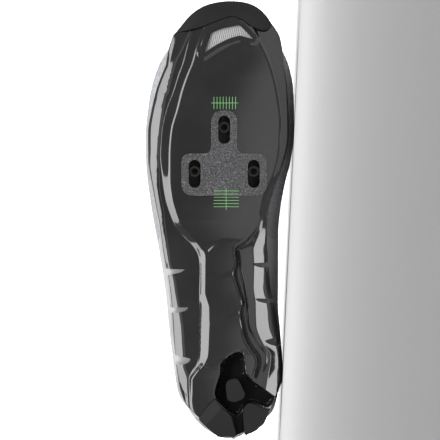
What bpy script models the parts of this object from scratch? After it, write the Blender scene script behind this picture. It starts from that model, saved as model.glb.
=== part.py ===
"""Cycling shoe for the right foot, lying on its inner side: stiff moulded sole, hollow upper, rubber toe and heel."""

import bmesh
import bpy
import numpy as np
from math import cos, pi, radians, sin
from mathutils import Matrix, Vector

# Driving sizes of the shoe, in metres. x runs from heel to toe, y towards the big toe, z up from the floor.
LENGTH = 0.280
BALL_WIDTH = 0.0941
COLLAR_FRONT_HEIGHT = 0.099
HEEL_STACK = 0.0150
TOE_SPRING = 0.0156

# Walls, edges and the clearance between neighbouring pieces.
UPPER_WALL = 0.0020
LASTING_MARGIN = 0.0150
SOLE_WALL = 0.0018
SOLE_EDGE = 0.0034
TURNED_EDGE = 0.0045
TOP_LIP = 0.0004
INSOLE_THICKNESS = 0.0035
TONGUE_THICKNESS = 0.0040
GAP = 0.0003

# Cleat fixing: one slot in front and two behind it in a gritty patch, with a round nut in each.
CLEAT_CENTRE_SHARE = 0.6072
CLEAT_SLOT_WIDTH = 0.0074
CLEAT_SLOT_LENGTH = 0.0175
CLEAT_SLOT_SPREAD = 0.0369
CLEAT_SLOT_STEP = 0.0275
GRIP_THICKNESS = 0.0010
GRIP_RISE = 0.0007
GRIP_BORDER = {"lobe": .0045, "tip": .0033, "ahead": .0039, "behind": .0050, "side": .0046}
GRIP_CORNER = 0.0060
NUT_HEIGHT = 0.0034
NUT_DEPTH = 0.0034
NUT_BORE = 0.0042
NUT_SHIFT = 0.0015

# Relief of the underside, the toe window's sheet and the heel's pads.
SPINE_RISE = 0.0028
SPINE_ROOT = 0.0030
SPINE_BEVEL = 0.0012
VENT_DEPTH = 0.0012
VENT_THICKNESS = 0.0012
HEEL_PAD_RISE = 0.0030
HEEL_PAD_SEAT = 0.0022
HEEL_PAD_EDGE = 0.0007
HEEL_HOLLOW_DEPTH = 0.0062
DEEPEST_HOLLOW = 0.125

# The rubber toe starts at this share of the length and reaches this share of the way round each side.
TOE_REACH = .86
TOE_TURN = .26
COLUMNS = 27
FAR = 0.050

WHITE, SILVER, GREY = (0.80, 0.80, 0.80), (0.46, 0.47, 0.49), (0.09, 0.09, 0.095)
GLOSS_BLACK, MATT_BLACK, FOAM_BLACK = (0.012, 0.012, 0.013), (0.022, 0.022, 0.023), (0.03, 0.03, 0.03)
STEEL_GREY = (0.25, 0.25, 0.26)

# Plan outline: share of the length, then the shares of the ball width on the outer and the inner side of the cleat axis.
OUTLINE = {
    "along": (0, .010, .038, .065, .093, .12, .147, .20, .257, .312, .367, .422, .477, .531, .586, .641,
              .696, .751, .806, .861, .915, .943, .970, .990, 1),
    "outer": (-.045, .066, .18, .243, .298, .324, .338, .358, .379, .393, .413, .440, .468, .495, .515, .529,
              .529, .515, .488, .434, .352, .290, .220, .125, -.05),
    "inner": (.045, .132, .254, .336, .363, .377, .404, .397, .383, .370, .370, .370, .370, .383, .411, .451,
              .472, .472, .465, .431, .377, .329, .275, .200, .05),
}

# How far the sole's edge stays inside that outline, as shares of the ball width.
SOLE_INSET = {
    "along": (0, .04, .08, .12, .20, .26, .31, .35, .42, .50, .56, .62, .70, .78, .86, .92, 1),
    "outer": (.05, .05, .020, .012, .018, .024, .030, .032, .026, .034, .028, .020, .020, .036, .050, .045, .045),
    "inner": (.05, .035, .040, .010, .008, .020, .034, .058, .076, .082, .074, .056, .041, .047, .040, .035, .035),
}

# Side profile: underside, seat of the upper and rise of the seat towards the edge, as shares of the heel stack,
# and how far underside and seat rise at the toe, as shares of the toe spring.
PROFILE = {
    "along": (0, .05, .15, .25, .35, .45, .55, .75, .82, .90, .96, 1),
    "under": (.34, .22, .20, .36, .66, .72, .40, .18, .18, .18, .18, .18),
    "seat": (1.20, 1.12, 1.10, 1.10, 1.12, 1.06, .78, .54, .54, .54, .54, .54),
    "dish": (.16, .18, .20, .26, .34, .36, .30, .22, .20, .14, .10, .08),
    "under_spring": (0, 0, 0, 0, 0, 0, 0, 0, .096, .442, .769, 1),
    "seat_spring": (0, 0, 0, 0, 0, 0, 0, 0, .077, .404, .692, .923),
}

# Upper above the seat's edge: height of the sole's wall and of the widest line as shares of the collar's height,
# and the roundness of the section.
WALLS = {
    "along": (0, .08, .20, .30, .42, .52, .62, .72, .85, .93, 1),
    "wall": (.131, .131, .121, .101, .086, .066, .045, .040, .040, .045, .050),
    "wide": (.263, .273, .283, .263, .242, .202, .152, .131, .121, .111, .101),
    "round": (1.12, 1.12, 1.15, 1.25, 1.35, 1.50, 1.70, 1.90, 2.00, 1.85, 1.60),
}

# Top line from toe to heel: share round the side, place along, half opening and height as shares of their sizes.
TOP = {
    "round": (0, .12, .22, .33, .40, .44, .50, .55, .60, .64, .70, .77, .85, .92, .96, 1),
    "along": (.900, .865, .805, .715, .655, .605, .520, .455, .395, .345, .265, .175, .095, .045, .029, .022),
    "open": (0, 0, 0, 0, 0, .110, .150, .170, .200, .240, .285, .285, .225, .125, .065, 0),
    "height": (.485, .520, .585, .680, .735, .775, .850, .915, .970, .950, .830, .760, .800, .890, .935, .950),
}
THROAT_START = .40
TOP_LEAN = {"along": (0, .4, .66, .80, 1), "lean": (0, .02, .055, .075, .06)}
RISES = (.14, .30, .48, .66, .84, 1)

# The underside's rail: distances in from the edge as shares of the ball width, heights as shares of the heel stack.
RAIL = {
    "outer": {"turn": .017, "crest": .053, "groove": .096, "panel": .149},
    "inner": {"turn": .013, "crest": .032, "groove": .049, "panel": .070},
}
RAIL_LIFT = {"crest": .080, "groove": .147, "panel": .040}


# Plan outlines of the sole's details, as shares of the length from the heel and of the ball width from the cleat axis.
TOE_EDGE = ((.922, -.40), (.926, -.305), (.930, -.248), (.9365, -.160), (.9497, -.066), (.960, .008), (.9634, .056),
            (.9588, .104), (.9405, .180), (.9305, .240), (.9305, .292), (.945, .325), (.950, .45))
WINDOW = ((.8743, -.148), (.884, -.125), (.904, -.108), (.9245, -.088), (.9345, -.020), (.9430, .100), (.938, .118),
          (.9110, .193), (.9100, .180), (.9180, .104), (.9110, .033), (.8960, -.055))
SIDE_SLOTS = (
    ((.3943, -.47), (.3943, -.400), (.3930, -.258), (.3865, -.290), (.3800, -.372), (.3800, -.47)),
    ((.3074, -.47), (.3074, -.372), (.3085, -.236), (.3010, -.255), (.2960, -.304), (.2960, -.47)),
    ((.2046, -.47), (.2046, -.355), (.1943, -.220), (.1860, -.235), (.1808, -.280), (.1808, -.47)),
    ((.4094, .47), (.4094, .306), (.4069, .181), (.4010, .205), (.3970, .247), (.3970, .47)),
    ((.3285, .47), (.3285, .345), (.3280, .204), (.3215, .225), (.3170, .286), (.3170, .47)),
    ((.2476, .47), (.2476, .377), (.2343, .267), (.2280, .290), (.2235, .332), (.2235, .47)),
)
SPINE = {
    "along": (.085, .110, .130, .150, .166, .185, .205, .234, .262, .2655, .300, .3035, .345, .381, .385, .420,
              .445, .4585),
    "outer": (-.190, -.205, -.215, -.225, -.215, -.180, -.143, -.111, -.097, -.090, -.104, -.100, -.100, -.100,
              -.096, -.098, -.096, -.020),
    "inner": (.270, .300, .310, .315, .320, .310, .200, .145, .118, .100, .100, .118, .107, .081, .063, .081, .067,
              .010),
}
HEEL_HOLLOW = ((.1835, -.024), (.2011, .037), (.2091, .090), (.2080, .123), (.1915, .128), (.1595, .142),
               (.1419, .195), (.1291, .252), (.1065, .340), (.0995, .318), (.086, .290), (.0995, .180), (.090, .130),
               (.075, .110), (.068, .085), (.073, .055), (.083, .012), (.094, -.022), (.108, -.055), (.123, -.059),
               (.137, -.046), (.163, -.021))
HEEL_PADS = {
    "front": ((.1474, .025), (.152, .082), (.143, .104), (.1154, .140), (.1063, .124), (.0985, .070),
              (.1033, .020), (.136, .009)),
    "lateral": ((.1063, -.062), (.0857, -.020), (.0757, .025), (.0658, .046), (.0215, .078), (.0205, -.037),
                (.0437, -.120), (.0606, -.173), (.085, -.118)),
    "medial": ((.0978, .169), (.0798, .300), (.0521, .266), (.0341, .205), (.0240, .136), (.070, .124),
               (.090, .136)),
}

# The tongue's sections: half opening that it fills, cover past each edge, fall and depth below the edge.
TONGUE = {
    "along": (.672, .640, .600, .545, .470, .410, .375, .345),
    "open": (.010, .016, .075, .128, .158, .180, .175, .150),
    "outer": (.085, .085, .060, .045, .042, .036, .020, .010),
    "inner": (.075, .070, .045, .030, .022, .015, .012, .010),
    "fall": (.45, .50, .75, 1.0, 1.3, 1.5, 1.2, .8),
    "cover": (1.7, 1.7, 1.7, 1.5, 1.5, 1.5, 1.5, 1.5),
}


def eased(xs, ys, x):
    """Smooth curve through the points of a table: cubic between rows, with slopes that never overshoot."""
    xs, ys, x = np.asarray(xs, float), np.asarray(ys, float), np.asarray(x, float)
    steps = np.diff(xs)
    slopes = np.diff(ys) / steps
    tangents = np.empty(len(xs))
    tangents[0], tangents[-1] = slopes[0], slopes[-1]
    for i in range(1, len(xs) - 1):
        before, after = slopes[i - 1], slopes[i]
        weight = (2 * steps[i] + steps[i - 1], steps[i] + 2 * steps[i - 1])
        tangents[i] = 0 if before * after <= 0 else sum(weight) / (weight[0] / before + weight[1] / after)
    i = np.clip(np.searchsorted(xs, x) - 1, 0, len(xs) - 2)
    t = np.clip((x - xs[i]) / steps[i], 0, 1)
    h = steps[i]
    return ((1 + 2 * t) * (1 - t) ** 2 * ys[i] + t * (1 - t) ** 2 * h * tangents[i]
            + t * t * (3 - 2 * t) * ys[i + 1] + t * t * (t - 1) * h * tangents[i + 1])


def turn(share):
    """Share of the length as a share of the way round an ellipse, so that tables close roundly at heel and toe."""
    return np.arccos(1 - 2 * np.clip(share, 0, 1)) / pi


def row(table, column, share):
    return float(eased(table["along"], table[column], share))


def outline(side, share):
    return float(eased(turn(np.array(OUTLINE["along"])), OUTLINE[side], turn(share))) * BALL_WIDTH


def under_height(x):
    return row(PROFILE, "under", x / LENGTH) * HEEL_STACK + row(PROFILE, "under_spring", x / LENGTH) * TOE_SPRING


def seat_height(x):
    return row(PROFILE, "seat", x / LENGTH) * HEEL_STACK + row(PROFILE, "seat_spring", x / LENGTH) * TOE_SPRING


def edge_rise(x):
    return row(PROFILE, "dish", x / LENGTH) * HEEL_STACK


def rubber_share(share):
    """0 behind the rubber toe, 1 where it wraps the tip."""
    return min(max((share - TOE_REACH) / .06, 0), 1)


class Column:
    """One section line of the shoe, from the middle of the foot bed out to the edge and up to the top line."""

    def __init__(self, side, q):
        self.side, self.q = side, q
        sign = 1 if side == "inner" else -1
        share = .5 + .5 * cos(pi * q)
        self.share = share
        self.centre = Vector((LENGTH * (.5 + (share - .5) * .80), centre_line(share), 0))
        edge = Vector((LENGTH * share, sign * outline(side, share), 0))
        if q in (0, 1):
            edge.y = BALL_WIDTH * (.05 if q == 0 else .045)
        self.out = (edge - self.centre).normalized()
        rubber = rubber_share(share)
        self.edge = edge
        self.inset = row(SOLE_INSET, side, share) * BALL_WIDTH * (1 - rubber)
        self.edge_height = seat_height(edge.x) + edge_rise(edge.x)
        self.wall_height = row(WALLS, "wall", share) * COLLAR_FRONT_HEIGHT
        self.wide_height = row(WALLS, "wide", share) * COLLAR_FRONT_HEIGHT
        self.wide_inset = rubber * (SOLE_WALL + GAP)
        self.bed = (edge - self.centre).length - self.inset - SOLE_WALL - GAP - TURNED_EDGE
        self.roundness = row(WALLS, "round", share)
        place = float(eased(TOP["round"], TOP["along"], q))
        heights = float(eased(TOP["round"], TOP["height"], q))
        opening = float(eased(TOP["round"], TOP["open"], q)) if q > THROAT_START else 0
        lean = float(eased(TOP_LEAN["along"], TOP_LEAN["lean"], place)) * BALL_WIDTH
        self.top = Vector((place * LENGTH, lean + sign * opening * BALL_WIDTH, heights * COLLAR_FRONT_HEIGHT))

    def at(self, inset, height):
        return Vector((self.edge.x, self.edge.y, 0)) - self.out * inset + Vector((0, 0, height))

    def seat(self, share):
        """Point of the upper's underside, from the foot bed's middle (0) to the sole's inner edge (1)."""
        place = self.centre + self.out * self.bed * share
        return Vector((place.x, place.y, seat_height(place.x) + edge_rise(place.x) * share ** 3))

    def margin(self):
        """Share of the foot bed inside the upper's turned-in edge."""
        return max(1 - LASTING_MARGIN / self.bed, .12)

    def lower(self):
        """The upper's side from the turned edge to its widest line."""
        inner = self.inset + SOLE_WALL + GAP
        low = self.seat(1).z
        high = max(self.edge_height, low)
        turned = TURNED_EDGE
        return [self.seat(1), self.at(inner + turned * .49, low + turned * .16),
                self.at(inner + turned * .13, low + turned * .53), self.at(inner, high + self.wall_height)]

    def widest(self):
        return self.at(self.wide_inset, self.edge_height + self.wide_height)

    def upward(self, share):
        """Point between the widest line (0) and the top line (1), on a rounded quarter arc."""
        wide, angle = self.widest(), min(share, 1) * pi / 2
        across, rise = cos(angle) ** (2 / self.roundness), sin(angle) ** (2 / self.roundness)
        return Vector((self.top.x + (wide.x - self.top.x) * across, self.top.y + (wide.y - self.top.y) * across,
                       wide.z + (self.top.z - wide.z) * rise))


def centre_line(share):
    return (float(outline("inner", share)) - float(outline("outer", share))) / 2 if 0 < share < 1 else BALL_WIDTH * .047


DOWN = Vector((0, 0, -1))


def ring_of_columns(furthest=1.0):
    """Columns from one end of the outer side round the toe's tip to the inner side, or all the way round."""
    qs = [i / COLUMNS for i in range(COLUMNS + 1) if i / COLUMNS <= furthest + 1e-6]
    outer = [Column("outer", q) for q in qs]
    inner = [Column("inner", q) for q in qs[1:] if q < 1]
    return outer[::-1] + inner


def hugging(column, points, distance):
    """The same section line, moved out from the upper by a distance."""
    across = column.out.cross(-DOWN)
    moved = []
    for k, point in enumerate(points):
        before, after = points[max(k - 1, 0)], points[min(k + 1, len(points) - 1)]
        moved.append(point + (after - before).cross(across).normalized() * distance)
    return moved


def material(name, colour, roughness, metallic=0.0):
    made = bpy.data.materials.new(name)
    made.use_nodes = True
    shader = made.node_tree.nodes["Principled BSDF"]
    shader.inputs["Base Color"].default_value = (*colour, 1)
    shader.inputs["Roughness"].default_value = roughness
    shader.inputs["Metallic"].default_value = metallic
    made.diffuse_color = (*colour, 1)
    return made


def add_mesh(name, mesh, finish=None):
    """A piece of the shoe, or a cutter where no finish is given."""
    item = bpy.data.objects.new(name, mesh)
    if finish:
        SHOE.objects.link(item)
        mesh.materials.append(finish)
        item.parent = FRAME
    else:
        CUTTERS.objects.link(item)
        item.hide_render = True
        item.display_type = "WIRE"
    return item


def mesh_from(name, points, faces):
    work = bmesh.new()
    corners = [work.verts.new(p) for p in points]
    for face in faces:
        if len(set(face)) > 2:
            work.faces.new([corners[i] for i in face])
    bmesh.ops.remove_doubles(work, verts=work.verts, dist=2e-5)
    bmesh.ops.dissolve_degenerate(work, edges=work.edges, dist=1e-6)
    bmesh.ops.recalc_face_normals(work, faces=work.faces)
    mesh = bpy.data.meshes.new(name)
    work.to_mesh(mesh)
    work.free()
    return mesh


def strip_faces(rings, size, closed):
    """Quads between point rows of one size that follow one another in the list."""
    faces = []
    for r in range(rings if closed else rings - 1):
        for c in range(size - 1):
            a, b = r * size + c, ((r + 1) % rings) * size + c
            faces.append((a, a + 1, b + 1, b))
    return faces


def prism(name, outline_points, low, high, finish=None):
    """An upright solid over a plan outline; low and high may each be a height or a function of x and y."""
    bottom = [Vector((x, y, low(x, y) if callable(low) else low)) for x, y in outline_points]
    top = [Vector((x, y, high(x, y) if callable(high) else high)) for x, y in outline_points]
    n = len(bottom)
    faces = [tuple(range(n)), tuple(range(n, 2 * n))]
    faces += [(i, (i + 1) % n, n + (i + 1) % n, n + i) for i in range(n)]
    return add_mesh(name, mesh_from(name, bottom + top, faces), finish)


def boolean(item, cutter, operation="DIFFERENCE", solver="EXACT"):
    step = item.modifiers.new(cutter.name, "BOOLEAN")
    step.operation = operation
    step.solver = solver
    step.object = cutter


def grown(points, distance):
    """A plan outline moved outwards by a distance, or inwards where it is negative."""
    n = len(points)
    area = sum(points[i][0] * points[(i + 1) % n][1] - points[(i + 1) % n][0] * points[i][1] for i in range(n))
    turned = 1 if area > 0 else -1
    moved = []
    for i, (x, y) in enumerate(points):
        before, after = Vector(points[i - 1]), Vector(points[(i + 1) % n])
        first, second = (Vector((x, y)) - before).normalized(), (after - Vector((x, y))).normalized()
        out = Vector((first.y + second.y, -first.x - second.x)).normalized() * turned
        half = max(out.dot(Vector((first.y, -first.x)) * turned), .5)
        moved.append((x + out.x * distance / half, y + out.y * distance / half))
    return moved


def stadium(x, y, length, width, steps=7):
    """A slot's outline, long along x."""
    half, radius = (length - width) / 2, width / 2
    ends = [(half, -pi / 2), (-half, pi / 2)]
    return [(x + shift + radius * cos(start + pi * i / steps), y + radius * sin(start + pi * i / steps))
            for shift, start in ends for i in range(steps + 1)]


def plan(rows):
    """Points given as shares of the length and of the ball width, as places in metres."""
    return [(along * LENGTH, across * BALL_WIDTH) for along, across in rows]


def make_upper():
    ring = ring_of_columns()
    points = []
    for column in ring:
        margin, lower, wide = column.margin(), column.lower(), column.widest()
        line = [column.seat(margin), column.seat((margin + 1) / 2)] + lower
        line += [(lower[3] + wide) / 2 + column.out * TOP_LIP, wide] + [column.upward(rise) for rise in RISES]
        points += line
    size = len(points) // len(ring)
    upper = add_mesh("upper", mesh_from("upper", points, strip_faces(len(ring), size, True)), SILVER_CLOTH)
    shell = upper.modifiers.new("wall", "SOLIDIFY")
    shell.thickness = UPPER_WALL
    shell.offset = -1
    shell.use_even_offset = False
    shell.use_quality_normals = True
    return upper


def underside(column):
    """The sole's underside from the middle out: panel, groove, rail and the turn up to the wall."""
    reach = (column.edge - column.centre).length - column.inset
    low = column.seat(1).z
    rail = {name: share * BALL_WIDTH for name, share in RAIL[column.side].items()}
    lift = {name: share * HEEL_STACK for name, share in RAIL_LIFT.items()}
    stops = [(reach, 0), ((reach + rail["panel"]) / 2, lift["panel"] / 3)]
    stops += [(rail[name], lift[name]) for name in ("panel", "groove", "crest")]
    line = []
    for inset, rise in stops:
        place = column.centre + column.out * (reach - inset)
        line.append(Vector((place.x, place.y, under_height(place.x) + rise)))
    corner = column.at(column.inset + rail["turn"], max(low - SOLE_EDGE, line[-1].z + SOLE_EDGE * .18))
    return line + [corner, column.at(column.inset + GAP * .67, low - SOLE_EDGE * .45)]


def sole_blank(name, furthest, rubber):
    """Underside, side wall and top of the sole as one solid; the rubber toe's wall climbs over the widest line."""
    ring = ring_of_columns(furthest)
    points = []
    for column in ring:
        lower = column.lower()
        margin, wide = column.margin(), column.widest()
        if rubber:
            lower += [(lower[3] + wide) / 2 + column.out * TOP_LIP, wide]
            lower += [column.upward(rise) for rise in RISES[:2]]
        seats = [column.seat(share) for share in (0, margin / 2, margin, (margin + 1) / 2)]
        inner = hugging(column, seats + lower, GAP)
        inner[0] = seats[0] + DOWN * GAP
        outer = hugging(column, lower, GAP + SOLE_WALL)[2:]
        points += underside(column) + outer + inner[::-1]
    size = len(points) // len(ring)
    whole = furthest >= 1
    faces = strip_faces(len(ring), size, whole)
    if not whole:
        faces += [tuple(range(size)), tuple(range(len(points) - size, len(points)))]
    return mesh_from(name, points, faces)


def slot_centres():
    """The three cleat slots: one in front on the axis, two behind it."""
    rear = CLEAT_CENTRE_SHARE * LENGTH
    half = CLEAT_SLOT_SPREAD / 2
    return {"front": (rear + CLEAT_SLOT_STEP, 0), "lateral": (rear, -half), "medial": (rear, half)}


def slot_cutter(name, place):
    return prism(name, stadium(*place, CLEAT_SLOT_LENGTH, CLEAT_SLOT_WIDTH), -FAR, FAR)


def rounded(points, radius, steps):
    """A plan outline with its corners rounded off."""
    made, n = [], len(points)
    for i in range(n):
        here = Vector(points[i])
        before, after = Vector(points[i - 1]) - here, Vector(points[(i + 1) % n]) - here
        reach = min(radius, before.length * .45, after.length * .45)
        start, end = here + before.normalized() * reach, here + after.normalized() * reach
        for k in range(steps + 1):
            t = k / steps
            made.append(tuple(start * (1 - t) ** 2 + here * 2 * t * (1 - t) + end * t * t))
    return made


def grip_outline():
    """The gritty patch: a lobe round the front slot on a wider block round the rear two."""
    rear, border = CLEAT_CENTRE_SHARE * LENGTH, GRIP_BORDER
    half_length, half_width = CLEAT_SLOT_LENGTH / 2, CLEAT_SLOT_WIDTH / 2
    lobe = half_width + border["lobe"]
    block = CLEAT_SLOT_SPREAD / 2 + half_width + border["side"]
    tip = rear + CLEAT_SLOT_STEP + half_length + border["tip"]
    ahead, behind = rear + half_length + border["ahead"], rear - half_length - border["behind"]
    corners = [(tip, -lobe), (tip, lobe), (ahead, lobe), (ahead, block), (behind, block), (behind, -block),
               (ahead, -block), (ahead, -lobe)]
    return rounded(corners, GRIP_CORNER, 4)


def grip_height(x):
    """The patch lies in one flat sloping plane under the ball; this is the height of its middle."""
    ends = [point[0] for point in grip_outline()]
    near, away = min(ends), max(ends)
    share = (x - near) / (away - near)
    middle = GRIP_THICKNESS / 2 - GRIP_RISE
    return (under_height(near) + middle) * (1 - share) + (under_height(away) + middle) * share


def hollow_floor():
    return under_height(DEEPEST_HOLLOW * LENGTH) + HEEL_HOLLOW_DEPTH


def pad_seat(name):
    """Height of a heel pad's top: the front one stands in the hollow, the rear ones in shallow seats."""
    if name == "front":
        return hollow_floor() - GAP
    return under_height(DEEPEST_HOLLOW * LENGTH / 2) + HEEL_PAD_SEAT


def spine_points(rise):
    """Ridge under the arch, as loops across it."""
    loops = []
    for along, outer, inner in zip(SPINE["along"], SPINE["outer"], SPINE["inner"]):
        x, left, right = along * LENGTH, outer * BALL_WIDTH, inner * BALL_WIDTH
        foot, face = under_height(x) + SPINE_ROOT, under_height(x) - rise
        bevel = min(SPINE_BEVEL, (right - left) / 5)
        shoulder = face + bevel * .75
        loops += [Vector((x, left, foot)), Vector((x, left + bevel * .4, shoulder)),
                  Vector((x, left + bevel, face)), Vector((x, right - bevel, face)),
                  Vector((x, right - bevel * .4, shoulder)), Vector((x, right, foot))]
    return loops


def spine_blank():
    rows, size = len(SPINE["along"]), 6
    faces = [(r * size + c, r * size + (c + 1) % size, (r + 1) * size + (c + 1) % size, (r + 1) * size + c)
             for r in range(rows - 1) for c in range(size)]
    faces += [tuple(range(size)), tuple(range(rows * size - size, rows * size))]
    return mesh_from("spine", spine_points(SPINE_RISE), faces)


def toe_front(edge):
    """Plan region ahead of the toe's edge line."""
    return edge + [(LENGTH + FAR, FAR), (LENGTH + FAR, -FAR)]


def make_outsole():
    """Dished blank with the ridge joined on, then cut; the exact solver loses this body's volume at some sizes."""
    sole = add_mesh("outsole", sole_blank("outsole", 1, False), GLOSS_SOLE)
    boolean(sole, add_mesh("spine", spine_blank()), "UNION", "MANIFOLD")
    edge = [(x - GAP, y) for x, y in plan(TOE_EDGE)]
    cutters = [prism("toe_cut", toe_front(edge), -FAR, FAR), prism("window_cut", plan(WINDOW), -FAR, FAR)]
    cutters += [prism(f"side_slot_{i}", plan(rows), -FAR, FAR) for i, rows in enumerate(SIDE_SLOTS)]
    cutters += [slot_cutter(f"cleat_slot_{name}", place) for name, place in slot_centres().items()]
    pocket = grown(grip_outline(), GAP)
    cutters.append(prism("grip_pocket", pocket, -FAR, lambda x, y: grip_height(x) + GRIP_THICKNESS / 2 + GAP))
    cutters.append(prism("heel_hollow", plan(HEEL_HOLLOW), -FAR, hollow_floor()))
    for name in ("lateral", "medial"):
        seat = grown(plan(HEEL_PADS[name]), GAP)
        cutters.append(prism(f"pad_seat_{name}", seat, -FAR, pad_seat(name) + GAP))
    for cutter in cutters:
        boolean(sole, cutter, solver="MANIFOLD")
    return sole


def make_heel_pads():
    for name, rows in HEEL_PADS.items():
        pad = prism(f"heel_pad_{name}", plan(rows), lambda x, y: under_height(x) - HEEL_PAD_RISE, pad_seat(name),
                    MATT_RUBBER)
        edge = pad.modifiers.new("edges", "BEVEL")
        edge.width = HEEL_PAD_EDGE
        edge.segments = 1
        edge.limit_method = "ANGLE"
        edge.angle_limit = radians(50)


def make_grip():
    half = GRIP_THICKNESS / 2
    grip = prism("cleat_grip_pad", grip_outline(), lambda x, y: grip_height(x) - half,
                 lambda x, y: grip_height(x) + half, GRIT)
    for name, place in slot_centres().items():
        boolean(grip, slot_cutter(f"grip_slot_{name}", place))


def round_bar(name, radius, height, segments):
    work = bmesh.new()
    bmesh.ops.create_cone(work, cap_ends=True, segments=segments, radius1=radius, radius2=radius, depth=height)
    mesh = bpy.data.meshes.new(name)
    work.to_mesh(mesh)
    work.free()
    return mesh


def make_nuts():
    """A bored round nut in each cleat slot, free to slide along it."""
    for name, (x, y) in slot_centres().items():
        radius = CLEAT_SLOT_WIDTH / 2 - GAP
        nut = add_mesh(f"cleat_nut_{name}", round_bar(f"cleat_nut_{name}", radius, NUT_HEIGHT, 24), STEEL)
        nut.location = (x + NUT_SHIFT, y, under_height(x) + NUT_DEPTH)
        bore = add_mesh(f"nut_bore_{name}", round_bar(f"nut_bore_{name}", NUT_BORE / 2, NUT_HEIGHT * 2, 18))
        bore.parent = FRAME
        bore.location = nut.location
        boolean(nut, bore)


def make_toe_bumper():
    """Rubber over the toe's tip: the sole's form carried up the upper, kept ahead of the toe's edge line."""
    bumper = add_mesh("toe_bumper", sole_blank("toe_bumper", TOE_TURN, True), MATT_RUBBER)
    boolean(bumper, prism("toe_region", toe_front(plan(TOE_EDGE)), -FAR, FAR * 2), "INTERSECT")


def make_vent():
    """The mesh in the toe window, a thin sheet just inside the sole's face."""
    prism("toe_vent_mesh", grown(plan(WINDOW), -GAP), lambda x, y: under_height(x) + VENT_DEPTH,
          lambda x, y: under_height(x) + VENT_DEPTH + VENT_THICKNESS, WHITE_MESH)


def make_insole():
    """Foam bed on the upper's turned-in edge, with the same section lines a wall and a clearance higher."""
    lift = UPPER_WALL + GAP * 1.5
    points = []
    ring = ring_of_columns()
    for column in ring:
        margin = column.margin()
        seats = [column.seat(share) for share in (0, margin / 2, margin, (margin + 1) / 2, 1)]
        seats.insert(4, seats[3].lerp(seats[4], .7))
        low = hugging(column, seats, -lift)[:-1]
        low[0] = seats[0] - DOWN * lift
        points += low + [p - DOWN * INSOLE_THICKNESS for p in low[::-1]]
    size = len(points) // len(ring)
    add_mesh("insole", mesh_from("insole", points, strip_faces(len(ring), size, True)), DARK_FOAM)


def top_line_height(share):
    """Height of the throat's edge at a share of the length, carried on above the collar's front."""
    along, height = TOP["along"][3:9][::-1], TOP["height"][3:9][::-1]
    return (float(np.interp(share, along, height)) + max(along[0] - share, 0) * 1.1) * COLLAR_FRONT_HEIGHT


def make_tongue():
    """A crowned strip that fills the throat from below and passes under its two edges."""
    points, across = [], (-1, -.7, -.35, 0, .35, .7, 1)
    for place, opening, outer, inner, fall, cover in zip(*TONGUE.values()):
        cover = UPPER_WALL * cover + GAP * 2
        lean = float(eased(TOP_LEAN["along"], TOP_LEAN["lean"], place)) * BALL_WIDTH
        opening, outer, inner = opening * BALL_WIDTH, outer * BALL_WIDTH, inner * BALL_WIDTH
        free = min(opening / (.12 * BALL_WIDTH), 1) ** 2
        crown = (cover + opening * .15) * free - cover
        rows = [(-opening - outer, -cover - fall * outer)]
        rows += [(a * opening, crown - (crown + cover) * a * a) for a in across]
        rows.append((opening + inner, -cover - fall * inner * 1.3))
        curve = [Vector((place * LENGTH, lean + y, top_line_height(place) + z)) for y, z in rows]
        points += curve + [p + DOWN * TONGUE_THICKNESS for p in curve[::-1]]
    size = len(rows) * 2
    stations = len(TONGUE["along"])
    faces = [(r * size + c, r * size + (c + 1) % size, (r + 1) * size + (c + 1) % size, (r + 1) * size + c)
             for r in range(stations - 1) for c in range(size)]
    faces += [tuple(range(size)), tuple(range(len(points) - size, len(points)))]
    add_mesh("tongue", mesh_from("tongue", points, faces), SILVER_CLOTH)


def hull_facets(points):
    work = bmesh.new()
    for p in points:
        work.verts.new(p)
    bmesh.ops.convex_hull(work, input=work.verts)
    work.normal_update()
    facets = [(face.normal.copy(), [v.co.copy() for v in face.verts]) for face in work.faces]
    work.free()
    return facets


def lay_down():
    """Turns the standing shoe on to its inner side, resting on the facet of its hull that its weight falls on."""
    bpy.context.view_layer.update()
    graph = bpy.context.evaluated_depsgraph_get()
    points, weighed, weight = [], Vector(), 0
    for piece in SHOE.objects:
        if piece.type != "MESH":
            continue
        evaluated = piece.evaluated_get(graph)
        mesh = evaluated.to_mesh()
        mesh.calc_loop_triangles()
        corners = [piece.matrix_world @ v.co for v in mesh.vertices]
        points += corners
        for triangle in mesh.loop_triangles:
            a, b, c = (corners[i] for i in triangle.vertices)
            volume = a.dot(b.cross(c)) / 6
            weighed += (a + b + c) / 4 * volume
            weight += volume
        evaluated.to_mesh_clear()
    middle = weighed / weight
    best = None
    for normal, corners in hull_facets(points):
        drop = normal * ((corners[0] - middle).dot(normal))
        foot = middle + drop
        inside = all((corners[(i + 1) % 3] - corners[i]).cross(foot - corners[i]).dot(normal) > 0 for i in range(3))
        if inside and (best is None or normal.y > best[0].y):
            best = (normal, corners)
    down = best[0]
    toe = (Vector((1, 0, 0)) - down * down.x).normalized()
    rows = (toe, (-down).cross(toe), -down)
    turned = Matrix(rows).to_4x4()
    laid = [turned @ p for p in points]
    low = Vector([min(p[i] for p in laid) for i in range(3)])
    high = Vector([max(p[i] for p in laid) for i in range(3)])
    FRAME.matrix_world = Matrix.Translation((-(low.x + high.x) / 2, -(low.y + high.y) / 2, -low.z)) @ turned
    for cutter in CUTTERS.objects:
        if cutter.parent is None:
            cutter.parent = FRAME


for old in list(bpy.data.objects):
    bpy.data.objects.remove(old, do_unlink=True)
SHOE = bpy.data.collections.new("cycling_shoe")
CUTTERS = bpy.data.collections.new("cutters")
CUTTERS.hide_render = True
bpy.context.scene.collection.children.link(SHOE)
bpy.context.scene.collection.children.link(CUTTERS)
FRAME = bpy.data.objects.new("lying_shoe", None)
SHOE.objects.link(FRAME)

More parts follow.
